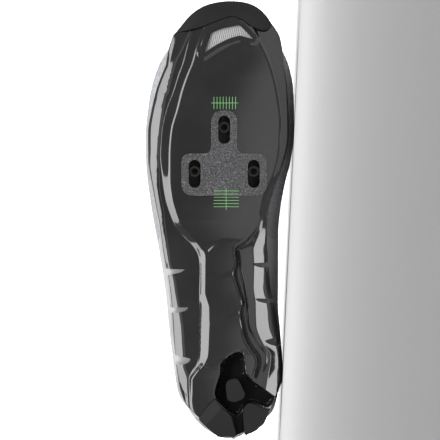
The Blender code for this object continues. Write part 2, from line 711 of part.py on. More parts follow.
SILVER_CLOTH = material("silver_cloth", SILVER, .45)
WHITE_MESH = material("white_mesh", WHITE, .7)
GLOSS_SOLE = material("gloss_sole", GLOSS_BLACK, .12)
MATT_RUBBER = material("matt_rubber", MATT_BLACK, .65)
GRIT = material("grey_grit", GREY, .9)
STEEL = material("nut_steel", STEEL_GREY, .35, 1.0)
DARK_FOAM = material("dark_foam", FOAM_BLACK, .9)

make_upper()
make_outsole()
make_toe_bumper()
make_vent()
make_grip()
make_nuts()
make_heel_pads()
make_insole()
make_tongue()
lay_down()
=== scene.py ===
"""Looks of the cycling shoe: glossy sole, rubber toe and heel, glittering upper, in a plain pale studio."""

from math import cos, pi, radians, sin, tan

import bmesh
import bpy
import numpy as np
from mathutils import Matrix, Vector


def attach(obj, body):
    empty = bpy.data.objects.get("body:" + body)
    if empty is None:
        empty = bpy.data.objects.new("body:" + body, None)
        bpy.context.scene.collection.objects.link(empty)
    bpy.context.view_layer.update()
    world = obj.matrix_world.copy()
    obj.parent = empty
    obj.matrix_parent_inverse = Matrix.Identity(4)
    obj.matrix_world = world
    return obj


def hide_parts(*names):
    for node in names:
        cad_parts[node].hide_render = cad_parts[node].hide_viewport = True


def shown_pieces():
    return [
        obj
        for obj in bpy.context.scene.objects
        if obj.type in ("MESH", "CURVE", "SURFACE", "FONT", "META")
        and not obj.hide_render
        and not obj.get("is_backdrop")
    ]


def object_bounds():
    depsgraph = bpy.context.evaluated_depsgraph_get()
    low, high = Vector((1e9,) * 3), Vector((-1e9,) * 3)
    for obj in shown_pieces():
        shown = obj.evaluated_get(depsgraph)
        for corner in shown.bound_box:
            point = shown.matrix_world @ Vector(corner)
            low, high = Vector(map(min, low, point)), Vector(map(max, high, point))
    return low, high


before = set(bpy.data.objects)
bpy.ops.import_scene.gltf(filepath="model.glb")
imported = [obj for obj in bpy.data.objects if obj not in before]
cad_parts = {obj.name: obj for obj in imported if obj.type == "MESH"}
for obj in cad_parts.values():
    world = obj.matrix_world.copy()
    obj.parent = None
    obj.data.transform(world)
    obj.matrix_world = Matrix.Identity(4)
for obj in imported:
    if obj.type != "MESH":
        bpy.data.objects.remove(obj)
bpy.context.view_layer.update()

# Sizes of the standing shoe, in metres: x from heel to toe, y towards the big toe, z up.
LENGTH = 0.280
BALL_WIDTH = 0.0941
COLLAR_FRONT_HEIGHT = 0.099
HEEL_STACK = 0.0150
UPPER_WALL = 0.0020
LASTING_MARGIN = 0.0150
SOLE_WALL = 0.0018
SOLE_EDGE = 0.0034
GAP = 0.0003
CLEAT_SLOT_WIDTH = 0.0074
CLEAT_SLOT_LENGTH = 0.0175
CLEAT_SLOT_SPREAD = 0.0369
CLEAT_SLOT_STEP = 0.0275
CLEAT_CENTRE = 0.6072 * LENGTH
NUT_SHIFT = 0.0015
NUT_DEPTH = 0.0034
TOE_SPRING = 0.0156
TURNED_EDGE = 0.0045
INSOLE_THICKNESS = 0.0030
TONGUE_THICKNESS = 0.0030
TOE_TURN = 0.26
MM = 0.001

OUTLINE = {
    "along": (0, .01, .038, .065, .093, .12, .147, .2, .257, .312, .367, .422, .477, .531, .586, .641, .696,
        .751, .806, .861, .915, .943, .97, .99, 1),
    "outer": (-.045, .066, .18, .243, .298, .324, .338, .358, .379, .393, .413, .44, .468, .495, .515, .529,
        .529, .515, .488, .434, .352, .29, .22, .125, -.05),
    "inner": (.045, .132, .254, .336, .363, .377, .404, .397, .383, .37, .37, .37, .37, .383, .411, .451,
        .472, .472, .465, .431, .377, .329, .275, .2, .05),
}
SOLE_INSET = {
    "along": (0, .04, .08, .12, .2, .26, .31, .35, .42, .5, .56, .62, .7, .78, .86, .92, 1),
    "outer": (.05, .05, .02, .012, .018, .024, .03, .032, .026, .034, .028, .02, .02, .036, .05, .045, .045),
    "inner": (.05, .035, .04, .01, .008, .02, .034, .058, .076, .082, .074, .056, .041, .047, .04, .035,
        .035),
}
PROFILE = {
    "along": (0, .05, .15, .25, .35, .45, .55, .75, .82, .9, .96, 1),
    "under": (.34, .22, .2, .36, .66, .72, .4, .18, .18, .18, .18, .18),
    "seat": (1.2, 1.12, 1.1, 1.1, 1.12, 1.06, .78, .54, .54, .54, .54, .54),
    "dish": (.16, .18, .2, .26, .34, .36, .3, .22, .2, .14, .1, .08),
    "under_spring": (0, 0, 0, 0, 0, 0, 0, 0, .096, .442, .769, 1),
    "seat_spring": (0, 0, 0, 0, 0, 0, 0, 0, .077, .404, .692, .923),
}
WALLS = {
    "along": (0, .08, .2, .3, .42, .52, .62, .72, .85, .93, 1),
    "wall": (.131, .131, .121, .101, .086, .066, .045, .04, .04, .045, .05),
    "wide": (.263, .273, .283, .263, .242, .202, .152, .131, .121, .111, .101),
    "round": (1.12, 1.12, 1.15, 1.25, 1.35, 1.5, 1.7, 1.9, 2.00, 1.85, 1.6),
}
TOP = {
    "round": (0, .12, .22, .33, .4, .44, .5, .55, .6, .64, .7, .77, .85, .92, .96, 1),
    "along": (.9, .865, .805, .715, .655, .605, .52, .455, .395, .345, .265, .175, .095, .045, .029, .022),
    "open": (0, 0, 0, 0, 0, .11, .15, .17, .2, .24, .285, .285, .225, .125, .065, 0),
    "height": (.485, .52, .585, .68, .735, .775, .85, .915, .97, .95, .83, .76, .8, .89, .935, .95),
}
THROAT_START = .40
TOP_LEAN = {"along": (0, .4, .66, .8, 1), "lean": (0, .02, .055, .075, .06)}
TOE_REACH = .86
# The turned edge's bends, and shares of the ball width or length that place the section lines.
TURN_BENDS = ((.49, .16), (.13, .53))
FULLNESS = .4
CENTRE_SPAN = .80
TIP_MIDDLE, HEEL_MIDDLE, END_CENTRE = .05, .045, .047
RUBBER_FADE = .06
LEAST_MARGIN = .12

# Lines of the sole's relief: shares of the length, and of the ball width from the cleats' axis.
OUTER_RAIL = {
    "along": (.042, .088, .118, .127, .147, .179, .204, .227, .259, .291, .32, .339, .371, .403, .435, .467,
        .499, .521, .553, .585, .617, .65, .682, .714, .746, .778, .792, .81, .829, .854, .89, .934),
    "rail_out": (-.154, -.25, -.262, -.277, -.297, -.32, -.325, -.328, -.332, -.34, -.349, -.359, -.378,
        -.397, -.42, -.44, -.459, -.462, -.473, -.483, -.49, -.49, -.483, -.476, -.464, -.445, -.428, -.411,
        -.389, -.362, -.304, -.236),
    "rail_in": (-.148, -.235, -.243, -.244, -.244, -.272, -.273, -.278, -.284, -.297, -.315, -.325, -.339,
        -.368, -.382, -.397, -.411, -.416, -.435, -.446, -.446, -.445, -.44, -.428, -.416, -.401, -.382,
        -.371, -.356, -.335, -.284, -.229),
}
OUTER_LINES = {
    "along": (.042, .088, .125, .147, .166, .184, .209, .271, .31, .339, .394, .422, .447, .465, .495, .52,
        .554, .598, .648, .703, .752, .792, .829, .854, .89, .934),
    "groove": (-.141, -.226, -.233, -.235, -.216, -.182, -.168, -.164, -.164, -.165, -.161, -.171, -.212,
        -.263, -.331, -.362, -.392, -.411, -.425, -.414, -.382, -.338, -.304, -.277, -.25, -.216),
    "panel": (-.127, -.215, -.222, -.226, -.202, -.168, -.158, -.154, -.151, -.157, -.154, -.154, -.188,
        -.236, -.304, -.328, -.355, -.368, -.367, -.354, -.314, -.284, -.246, -.216, -.188, -.141),
}
INNER_LINES = {
    "along": (.06, .1, .165, .185, .202, .221, .243, .264, .301, .317, .351, .385, .406, .438, .454, .467,
        .488, .52, .553, .589, .618, .657, .723, .792, .849, .904, .952),
    "panel": (.12, .15, .2, .215, .206, .162, .129, .118, .103, .119, .088, .062, .079, .067, .114, .16, .213,
        .237, .257, .308, .342, .367, .376, .35, .308, .24, .165),
    "groove": (.14, .18, .235, .25, .24, .199, .165, .148, .131, .138, .114, .09, .097, .09, .158, .19, .226,
        .25, .277, .322, .353, .378, .387, .363, .322, .254, .179),
    "fold": (.18, .225, .27, .29, .294, .254, .213, .176, .165, .158, .145, .124, .111, .108, .199, .21, .237,
        .257, .284, .329, .359, .39, .397, .373, .335, .267, .186),
    "rail_in": (.24, .26, .295, .305, .308, .267, .233, .213, .209, .209, .197, .199, .2, .195, .21, .228,
        .25, .281, .303, .349, .369, .4, .407, .39, .363, .308, .22),
    "crest": (.345, .35, .35, .36, .36, .342, .322, .301, .288, .284, .26, .264, .267, .262, .272, .281, .294,
        .305, .329, .366, .39, .41, .417, .41, .39, .349, .254),
}
# Heights of those lines towards the viewer, in millimetres.
OUTER_HEIGHTS = {
    "along": (0, .1, .15, .17, .2, .27, .31, .34, .42, .44, .47, .52, .57, .6, .625, .68, .78, .8, .83, .86,
        .95, 1),
    "rail_out": (-1.2, -2.4, -3.6, -4.0, -4.0, -4.0, -3.8, -3.6, -3.8, -3.6, -3.4, -3.4, -3.2, -3.3, -3.2,
        -3.1, -2.9, -2.8, -2.3, -1.5, -1.2, -1.0),
    "rail_in": (-1.0, -1.2, -1.2, -1.2, -1.2, -1.2, -1.2, -1.2, -1.4, -1.1, -.9, -.6, -.5, -.4, -.3, -.3, -.4,
        -.4, -.5, -.8, -.9, -.9),
    "groove": (-1.2, -1.4, -1.4, -1.4, -1.5, -1.6, -1.6, -1.5, -1.6, -1.8, -2.4, -2.6, -2.7, -2.3, -1.5, -1.2,
        -1.4, -1.4, -1.3, -1.2, -1.0, -1.0),
    "foot": (-.2, -.2, -.6, -1.4, -2.2, -2.4, -2.2, -.9, -.9, -.9, -.8, -.6, -.7, -.7, -.7, -.6, -.7, -.7,
        -.6, -.6, -.6, -.6),
    "panel": (0, 0, .5, 1.0, 1.3, 1.5, 1.4, 1.1, 1.1, 1.0, .4, 0, 0, 0, 0, 0, 0, 0, 0, 0, 0, 0),
    "step": (.8, .8, 1.4, 2.4, 4.8, 5.2, 4.7, 2.7, 2.7, 2.4, 1.5, .9, .8, .8, .8, .7, .8, .8, .8, .8, .8, .8),
}
INNER_HEIGHTS = {
    "along": (0, .1, .15, .17, .2, .27, .34, .42, .44, .47, .5, .52, .57, .6, .62, .68, .78, .88, .95, 1),
    "lip": (0, 0, 0, .2, .4, .4, .4, .4, .3, .1, 0, 0, 0, .1, .2, .35, .35, .2, 0, 0),
    "groove": (-.2, -.6, -1.2, -2.0, -3.0, -3.3, -3.3, -3.2, -2.8, -2.2, -.5, .3, .4, .2, -.8, -1.2, -1.2,
        -1.2, -1.0, -1.0),
    "fold": (-.6, -1.2, -1.6, -1.8, -2.1, -2.4, -2.4, -2.3, -2.2, -1.8, -.2, .5, .6, .3, -1.0, -1.3, -1.3,
        -1.3, -1.0, -1.0),
    "rail_in": (-1.0, -2.2, -2.2, -2.2, -2.7, -2.8, -2.7, -2.6, -2.3, -1.4, .4, 1.1, 1.2, .7, -1.2, -1.5,
        -1.5, -1.4, -1.1, -1.0),
    "crest": (.5, 2.0, 2.4, 2.2, 1.2, 1.2, 1.2, 1.1, 1.1, 1.2, .9, .7, .2, -.4, -1.6, -1.9, -1.9, -1.7, -1.2,
        -1.0),
}

TOE_EDGE = (
    (.922, -.4), (.926, -.305), (.93, -.248), (.9365, -.16), (.9497, -.066), (.96, .008), (.9634, .056),
    (.9588, .104), (.9405, .18), (.9305, .24), (.9305, .292), (.945, .325), (.95, .45),
)
WINDOW = (
    (.8743, -.148), (.884, -.125), (.904, -.108), (.9245, -.088), (.9345, -.02), (.943, .1), (.938, .118),
    (.911, .193), (.91, .18), (.918, .104), (.911, .033), (.896, -.055),
)
SIDE_SLOTS = (
    ((.3943, -.47), (.3943, -.4), (.393, -.258), (.3865, -.29), (.38, -.372), (.38, -.47)),
    ((.3074, -.47), (.3074, -.372), (.3085, -.236), (.301, -.255), (.296, -.304), (.296, -.47)),
    ((.2046, -.47), (.2046, -.355), (.1943, -.22), (.186, -.235), (.1808, -.28), (.1808, -.47)),
    ((.4094, .47), (.4094, .306), (.4069, .181), (.401, .205), (.397, .247), (.397, .47)),
    ((.3285, .47), (.3285, .345), (.328, .204), (.3215, .225), (.317, .286), (.317, .47)),
    ((.2476, .47), (.2476, .377), (.2343, .267), (.228, .29), (.2235, .332), (.2235, .47)),
)
HEEL_HOLLOW = (
    (.1835, -.024), (.2011, .037), (.2091, .09), (.208, .123), (.1915, .128), (.1595, .142), (.1419, .195),
    (.1291, .252), (.1065, .34), (.0995, .318), (.086, .29), (.0995, .18), (.09, .13), (.075, .11),
    (.068, .085), (.073, .055), (.083, .012), (.094, -.022), (.108, -.055), (.123, -.059), (.137, -.046),
    (.163, -.021),
)
HEEL_PADS = {
    "front": ((.1474, .025), (.152, .082), (.143, .104), (.1154, .14), (.1063, .124), (.0985, .07),
              (.1033, .02), (.136, .009)),
    "lateral": ((.1063, -.062), (.0857, -.02), (.0757, .025), (.0658, .046), (.0215, .078), (.0205, -.037),
                (.0437, -.12), (.0606, -.173), (.085, -.118)),
    "medial": ((.0978, .169), (.0798, .3), (.0521, .266), (.0341, .205), (.024, .136), (.07, .124),
               (.09, .136)),
}
TONGUE = {
    "along": (.672, .64, .6, .545, .47, .41, .375, .345),
    "open": (.01, .016, .075, .128, .158, .18, .175, .15),
    "outer": (.085, .085, .06, .045, .042, .036, .02, .01),
    "inner": (.075, .07, .045, .03, .022, .015, .012, .01),
    "fall": (.45, .5, .75, 1.0, 1.3, 1.5, 1.2, .8),
    "cover": (1.7, 1.7, 1.7, 1.5, 1.5, 1.5, 1.5, 1.5),
}


def eased(xs, ys, x):
    """Smooth curve through the points of a table: cubic between rows, with slopes that never overshoot."""
    xs, ys, x = np.asarray(xs, float), np.asarray(ys, float), np.asarray(x, float)
    steps, rises = np.diff(xs), np.diff(ys)
    slopes = rises / steps
    tangents = np.empty(len(xs))
    tangents[0], tangents[-1] = slopes[0], slopes[-1]
    for i in range(1, len(xs) - 1):
        before, after = slopes[i - 1], slopes[i]
        weight = (2 * steps[i] + steps[i - 1], steps[i] + 2 * steps[i - 1])
        tangents[i] = 0 if before * after <= 0 else sum(weight) / (weight[0] / before + weight[1] / after)
    i = np.clip(np.searchsorted(xs, x) - 1, 0, len(xs) - 2)
    t, h = np.clip((x - xs[i]) / steps[i], 0, 1), steps[i]
    return ((1 + 2 * t) * (1 - t) ** 2 * ys[i] + t * (1 - t) ** 2 * h * tangents[i]
            + t * t * (3 - 2 * t) * ys[i + 1] + t * t * (t - 1) * h * tangents[i + 1])


def turn(share):
    """Place round one side, from the heel (0) to the toe (1), of a share of the length."""
    return np.arccos(1 - 2 * np.clip(share, 0, 1)) / pi


def row(table, column, share):
    return eased(table["along"], table[column], share)


def outline(side, share):
    return eased(turn(np.array(OUTLINE["along"])), OUTLINE[side], turn(share)) * BALL_WIDTH


def sprung(x, name):
    """A line of the profile, with the toe's spring."""
    share = x / LENGTH
    return row(PROFILE, name, share) * HEEL_STACK + row(PROFILE, f"{name}_spring", share) * TOE_SPRING


def under_height(x):
    return sprung(x, "under")


def seat_height(x):
    return sprung(x, "seat")


def edge_rise(x):
    return row(PROFILE, "dish", x / LENGTH) * HEEL_STACK


def smooth_step(x):
    t = np.clip(x, 0, 1)
    return t * t * (3 - 2 * t)


def even_turns(count, furthest=1.0):
    """Places round one side, evenly spaced along the outline, from the toe (0) to the heel (1)."""
    q = np.linspace(0, 1, 3001)
    share = .5 + .5 * np.cos(pi * q)
    y = (outline("outer", share) + outline("inner", share)) / 2
    run = np.concatenate([[0], np.cumsum(np.hypot(np.diff(share * LENGTH), np.diff(y)))])
    turns = np.interp(np.linspace(0, run[-1], count + 1), run, q)
    return turns[turns <= furthest + 1e-9]


class Sections:
    """Section lines round the shoe: from the foot bed's middle out to the edge and up to the top line."""

    def __init__(self, count, furthest=1.0):
        turns = even_turns(count, furthest)
        inner = turns[1:-1] if furthest >= 1 else turns[1:]
        self.q = np.concatenate([turns[::-1], inner])
        self.sign = np.concatenate([-np.ones(len(turns)), np.ones(len(inner))])
        q, sign = self.q, self.sign
        share = .5 + .5 * np.cos(pi * q)
        outer_side = sign < 0
        middle = (outline("inner", share) - outline("outer", share)) / 2
        middle = np.where((share > 0) & (share < 1), middle, BALL_WIDTH * END_CENTRE)
        self.centre = np.stack([LENGTH * (.5 + (share - .5) * CENTRE_SPAN), middle], 1)
        width = np.where(outer_side, outline("outer", share), outline("inner", share))
        edge_y = np.where(share <= 0, BALL_WIDTH * HEEL_MIDDLE, sign * width)
        edge_y = np.where(share >= 1, BALL_WIDTH * TIP_MIDDLE, edge_y)
        self.edge = np.stack([LENGTH * share, edge_y], 1)
        away = self.edge - self.centre
        self.length = np.hypot(*away.T)
        self.out = away / self.length[:, None]
        rubber = np.clip((share - TOE_REACH) / RUBBER_FADE, 0, 1)
        inset = np.where(outer_side, row(SOLE_INSET, "outer", share), row(SOLE_INSET, "inner", share))
        self.inset = inset * BALL_WIDTH * (1 - rubber)
        self.edge_height = seat_height(self.edge[:, 0]) + edge_rise(self.edge[:, 0])
        self.wall_height = row(WALLS, "wall", share) * COLLAR_FRONT_HEIGHT
        self.wide_height = row(WALLS, "wide", share) * COLLAR_FRONT_HEIGHT
        self.wide_inset = rubber * (SOLE_WALL + GAP)
        self.roundness = row(WALLS, "round", share)
        place = eased(TOP["round"], TOP["along"], q)
        opening = np.where(q > THROAT_START, eased(TOP["round"], TOP["open"], q), 0)
        lean = row(TOP_LEAN, "lean", place) * BALL_WIDTH
        height = eased(TOP["round"], TOP["height"], q) * COLLAR_FRONT_HEIGHT
        self.top = np.stack([place * LENGTH, lean + sign * opening * BALL_WIDTH, height], 1)
        self.bed = self.length - self.inset - SOLE_WALL - GAP - TURNED_EDGE
        self.margin = np.maximum(1 - LASTING_MARGIN / self.bed, LEAST_MARGIN)

    def at(self, inset, height):
        xy = self.edge - self.out * np.broadcast_to(inset, self.length.shape)[:, None]
        return np.column_stack([xy, np.broadcast_to(height, self.length.shape)])

    def seat(self, share):
        share = np.broadcast_to(share, self.length.shape)
        xy = self.centre + self.out * (self.bed * share)[:, None]
        return np.column_stack([xy, seat_height(xy[:, 0]) + edge_rise(xy[:, 0]) * share ** 3])

    def bed_lines(self):
        """The foot bed, from its middle to the place where its edge turns up."""
        return [self.seat(share) for share in (0, self.margin / 2, self.margin, (self.margin + 1) / 2)]

    def lower(self):
        """The turned-up edge and the wall above it."""
        inner = self.inset + SOLE_WALL + GAP
        low = self.seat(1)[:, 2]
        high = np.maximum(self.edge_height, low)
        turned = [self.at(inner + TURNED_EDGE * inward, low + TURNED_EDGE * rise)
                  for inward, rise in TURN_BENDS]
        return [self.seat(1), *turned, self.at(inner, high + self.wall_height)]

    def widest(self):
        return self.at(self.wide_inset, self.edge_height + self.wide_height)

    def above(self):
        """The fuller line between the wall and the widest one, and the widest."""
        fuller = np.column_stack([self.out * FULLNESS * MM, np.zeros(len(self.q))])
        return [(self.lower()[3] + self.widest()) / 2 + fuller, self.widest()]

    def upward(self, share):
        wide = self.widest()
        across = (cos(share * pi / 2) ** (2 / self.roundness))[:, None]
        rise = sin(share * pi / 2) ** (2 / self.roundness)
        xy = self.top[:, :2] + (wide[:, :2] - self.top[:, :2]) * across
        return np.column_stack([xy, wide[:, 2] + (self.top[:, 2] - wide[:, 2]) * rise])

    def hugging(self, points, distance):
        """Section lines moved out from the upper by a distance."""
        across = np.column_stack([self.out[:, 1], -self.out[:, 0], np.zeros(len(self.q))])[:, None, :]
        along = np.empty_like(points)
        along[:, 1:-1] = points[:, 2:] - points[:, :-2]
        along[:, 0], along[:, -1] = points[:, 1] - points[:, 0], points[:, -1] - points[:, -2]
        normal = np.cross(along, np.broadcast_to(across, along.shape))
        return points + normal / np.linalg.norm(normal, axis=2, keepdims=True) * distance

    def under_bed(self, lines, distance):
        """Section lines moved out by a distance, with the middle of the bed moved straight down."""
        moved = self.hugging(lines, distance)
        moved[:, 0] = lines[:, 0] - np.array([0, 0, distance])
        return moved


def refined(points, steps):
    """Section lines with more points between the given ones, on a smooth curve through them."""
    first, last = 2 * points[:, :1] - points[:, 1:2], 2 * points[:, -1:] - points[:, -2:-1]
    p = np.concatenate([first, points, last], 1)
    made = []
    for k in range(1, p.shape[1] - 2):
        a, b, c, d = p[:, k - 1], p[:, k], p[:, k + 1], p[:, k + 2]
        for t in np.arange(steps) / steps:
            made.append(.5 * (2 * b + (c - a) * t + (2 * a - 5 * b + 4 * c - d) * t * t
                              + (3 * b - a - 3 * c + d) * t ** 3))
    made.append(points[:, -1])
    return np.stack(made, 1)


def shoe_matrix():
    """The standing shoe's axes in the frame, from the middles of the three cleat nuts."""
    def middle(node):
        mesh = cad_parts[node].data
        mesh.calc_loop_triangles()
        total, area = Vector(), 0
        for triangle in mesh.loop_triangles:
            total += sum((mesh.vertices[i].co for i in triangle.vertices), Vector()) / 3 * triangle.area
            area += triangle.area
        return total / area

    def axes(front, outer, inner):
        across = (inner - outer).normalized()
        ahead = front - (inner + outer) / 2
        ahead = (ahead - across * ahead.dot(across)).normalized()
        return Matrix((ahead, across, ahead.cross(across))).transposed(), (front + outer + inner) / 3

    def local(x, y):
        return Vector((x + NUT_SHIFT, y, float(under_height(x)) + NUT_DEPTH))

    half = CLEAT_SLOT_SPREAD / 2
    there, there_middle = axes(*(middle(f"cleat_nut_{side}") for side in ("front", "lateral", "medial")))
    here, here_middle = axes(local(CLEAT_CENTRE + CLEAT_SLOT_STEP, 0), local(CLEAT_CENTRE, -half),
                             local(CLEAT_CENTRE, half))
    turned = there @ here.transposed()
    return Matrix.Translation(there_middle - turned @ here_middle) @ turned.to_4x4()


SHOE = shoe_matrix()
SHOE_ROWS = np.array(SHOE)


def laid(points):
    """Points of the standing shoe, where they are on the shoe as it lies."""
    return np.asarray(points, float).reshape(-1, 3) @ SHOE_ROWS[:3, :3].T + SHOE_ROWS[:3, 3]


def grid_faces(sections, rows, ring, loop=False):
    """Quads between section lines of one size that follow one another."""
    last = sections if ring else sections - 1
    ends = rows if loop else rows - 1
    a, b = np.meshgrid(np.arange(last), np.arange(ends), indexing="ij")
    after, beyond = (a + 1) % sections, (b + 1) % rows
    quads = [a * rows + b, a * rows + beyond, after * rows + beyond, after * rows + b]
    return np.stack(quads, -1).reshape(-1, 4)


def mesh_from(name, points, faces, extra=()):
    mesh = bpy.data.meshes.new(name)
    mesh.from_pydata(laid(points).tolist(), [], np.asarray(faces).tolist() + [list(face) for face in extra])
    work = bmesh.new()
    work.from_mesh(mesh)
    bmesh.ops.remove_doubles(work, verts=work.verts, dist=1e-5)
    bmesh.ops.dissolve_degenerate(work, edges=work.edges, dist=1e-6)
    bmesh.ops.recalc_face_normals(work, faces=work.faces)
    work.to_mesh(mesh)
    work.free()
    return mesh


def lofted(name, lines, ring=True, loop=False):
    """A mesh over section lines of one size; where these form no ring, each end gets a face."""
    n, m = lines.shape[:2]
    ends = () if ring else [tuple(range(m)), tuple(range((n - 1) * m, n * m))]
    return mesh_from(name, lines, grid_faces(n, m, ring, loop), ends)


def smoothed(mesh, angle):
    mesh.shade_smooth()
    mesh.set_sharp_from_angle(angle=radians(angle))


def placed(name, data):
    """A new object of the scene."""
    item = bpy.data.objects.new(name, data)
    bpy.context.scene.collection.objects.link(item)
    return item


def evaluated(item):
    """The mesh of an object, with its modifiers applied."""
    return bpy.data.meshes.new_from_object(item.evaluated_get(bpy.context.evaluated_depsgraph_get()))


def piece(name, mesh, finish, angle=0, stands_for=None):
    """An object that rides on the root, smooth up to an angle, and may stand for a solid of the same form."""
    if angle:
        smoothed(mesh, angle)
    item = placed(name, mesh)
    mesh.materials.clear()
    mesh.materials.append(finish)
    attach(item, "root")
    if stands_for:
        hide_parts(stands_for)
    return item


def cut(mesh, cutters, operation="DIFFERENCE"):
    """The mesh after one Boolean with each cutter in turn."""
    item = placed("work", mesh)
    helpers = [placed("cutter", cutter) for cutter in cutters]
    for helper in helpers:
        step = item.modifiers.new("cut", "BOOLEAN")
        step.operation = operation
        step.solver = "MANIFOLD"
        step.object = helper
    bpy.context.view_layer.update()
    made = evaluated(item)
    for helper in [item, *helpers]:
        bpy.data.objects.remove(helper, do_unlink=True)
    return made


def prism(name, outline_points, low, high):
    """A closed upright solid over a plan outline; low and high may be heights or functions of x and y."""
    flat = np.asarray(outline_points, float)
    n = len(flat)
    levels = [np.column_stack([flat, [level(x, y) if callable(level) else level for x, y in flat]])
              for level in (low, high)]
    i = np.arange(n)
    sides = np.stack([i, (i + 1) % n, n + (i + 1) % n, n + i], 1)
    mesh = mesh_from(name, np.vstack(levels), sides, [range(n), range(n, 2 * n)])
    work = bmesh.new()
    work.from_mesh(mesh)
    bmesh.ops.triangulate(work, faces=work.faces)
    work.to_mesh(mesh)
    work.free()
    return mesh


def plan(rows):
    return [(along * LENGTH, across * BALL_WIDTH) for along, across in rows]


def grown(points, distance):
    """A plan outline moved outwards by a distance, or inwards where it is negative."""
    n = len(points)
    area = sum(x0 * y1 - x1 * y0 for (x0, y0), (x1, y1) in zip(points, points[1:] + points[:1]))
    turned, moved = (1 if area > 0 else -1), []
    for i, (x, y) in enumerate(points):
        before, after = Vector(points[i - 1]), Vector(points[(i + 1) % n])
        first, second = (Vector((x, y)) - before).normalized(), (after - Vector((x, y))).normalized()
        out = Vector((first.y + second.y, -first.x - second.x)).normalized() * turned
        half = max(out.dot(Vector((first.y, -first.x)) * turned), .5)
        moved.append((x + out.x * distance / half, y + out.y * distance / half))
    return moved


CORNER_STEPS = 6


def rounded(points, radius, steps=CORNER_STEPS):
    """A plan outline with its corners rounded off."""
    made, n = [], len(points)
    for i in range(n):
        here = Vector(points[i])
        before, after = Vector(points[i - 1]) - here, Vector(points[(i + 1) % n]) - here
        wanted = radius[i] if isinstance(radius, (list, tuple)) else radius
        reach = min(wanted, before.length * .49, after.length * .49)
        start, end = here + before.normalized() * reach, here + after.normalized() * reach
        for k in range(steps + 1):
            t = k / steps
            made.append(tuple(start * (1 - t) ** 2 + here * 2 * t * (1 - t) + end * t * t))
    return made


def stadium(x, y, length, width, steps=16):
    half, radius = (length - width) / 2, width / 2
    return [(x + shift + radius * cos(start + pi * i / steps), y + radius * sin(start + pi * i / steps))
            for shift, start in ((half, -pi / 2), (-half, pi / 2)) for i in range(steps + 1)]


def distance_inside(points, polygon):
    """How far each point lies inside a plan outline, negative outside it."""
    p, corners = np.asarray(points, float), np.asarray(polygon, float)
    nearest = np.full(len(p), np.inf)
    crossings = np.zeros(len(p), int)
    for a, b in zip(corners, np.roll(corners, -1, 0)):
        side, away = b - a, p - a
        t = np.clip(away @ side / (side @ side), 0, 1)
        nearest = np.minimum(nearest, np.hypot(*(away - t[:, None] * side).T))
        spans = (a[1] > p[:, 1]) != (b[1] > p[:, 1])
        with np.errstate(divide="ignore", invalid="ignore"):
            crossing = a[0] + (p[:, 1] - a[1]) * side[0] / side[1]
        crossings += spans & (p[:, 0] < crossing)
    return np.where(crossings % 2 == 1, nearest, -nearest)


WINDOW_CORNER, SLOT_CORNER, PAD_CORNER, SEAT_CORNER = 2 * MM, 1.6 * MM, 1.8 * MM, 1.5 * MM
HOLLOW_PLAN = rounded(plan(HEEL_HOLLOW), 2 * MM, 4)
WINDOW_PLAN = rounded(plan(WINDOW), WINDOW_CORNER)
HOLLOW_MIDDLE = .04 * BALL_WIDTH
HOLLOW_REACH = 9 * MM
HOLLOW_SLOPE = 2.0 * MM
HOLLOW_DEPTH = 6.2 * MM
HOLLOW_TILT = .12
BEVEL = .35 * MM
SPINE_ARC = {"along": (.4354, .4606), "across": (-.110, .029)}
SHINGLES = ((.3714, .3874, -.1247, .0632), (.2754, .3006, -.105, .097), (.1817, .2114, -.100, .111))
SIDE_SHINGLES = ((.3930, .4120, -.258, -.165), (.3085, .3290, -.236, -.160), (.2050, .2150, -.220, -.160))
SHINGLE_STEP = .5 * MM
CREASE, FOLD, LIP = .9 * MM, 1.2 * MM, .7 * MM
RELIEF_BLUR = .28 * MM
BAND_WIDTH, BAND_RISE = 4.0 * MM, .5 * MM


def line_at(table, column, along):
    """Place across the sole of a line of the relief, kept level past the line's two ends."""
    places = table["along"]
    return eased(places, table[column], np.clip(along, places[0], places[-1])) * BALL_WIDTH


def height_at(table, column, along):
    return np.interp(along, table["along"], table[column]) * MM


def overlaps(x, y, rows, rise):
    """Plates that overlap towards the heel: each crossing line adds a step, faded out at the heel's end."""
    total = 0 * x
    for low, high, left, right in rows:
        crossing = np.interp(y / BALL_WIDTH, (left, right), (low, high)) * LENGTH
        total = total + rise * smooth_step((crossing - x) / CREASE)
    return total * smooth_step((x / LENGTH - .10) / .10)


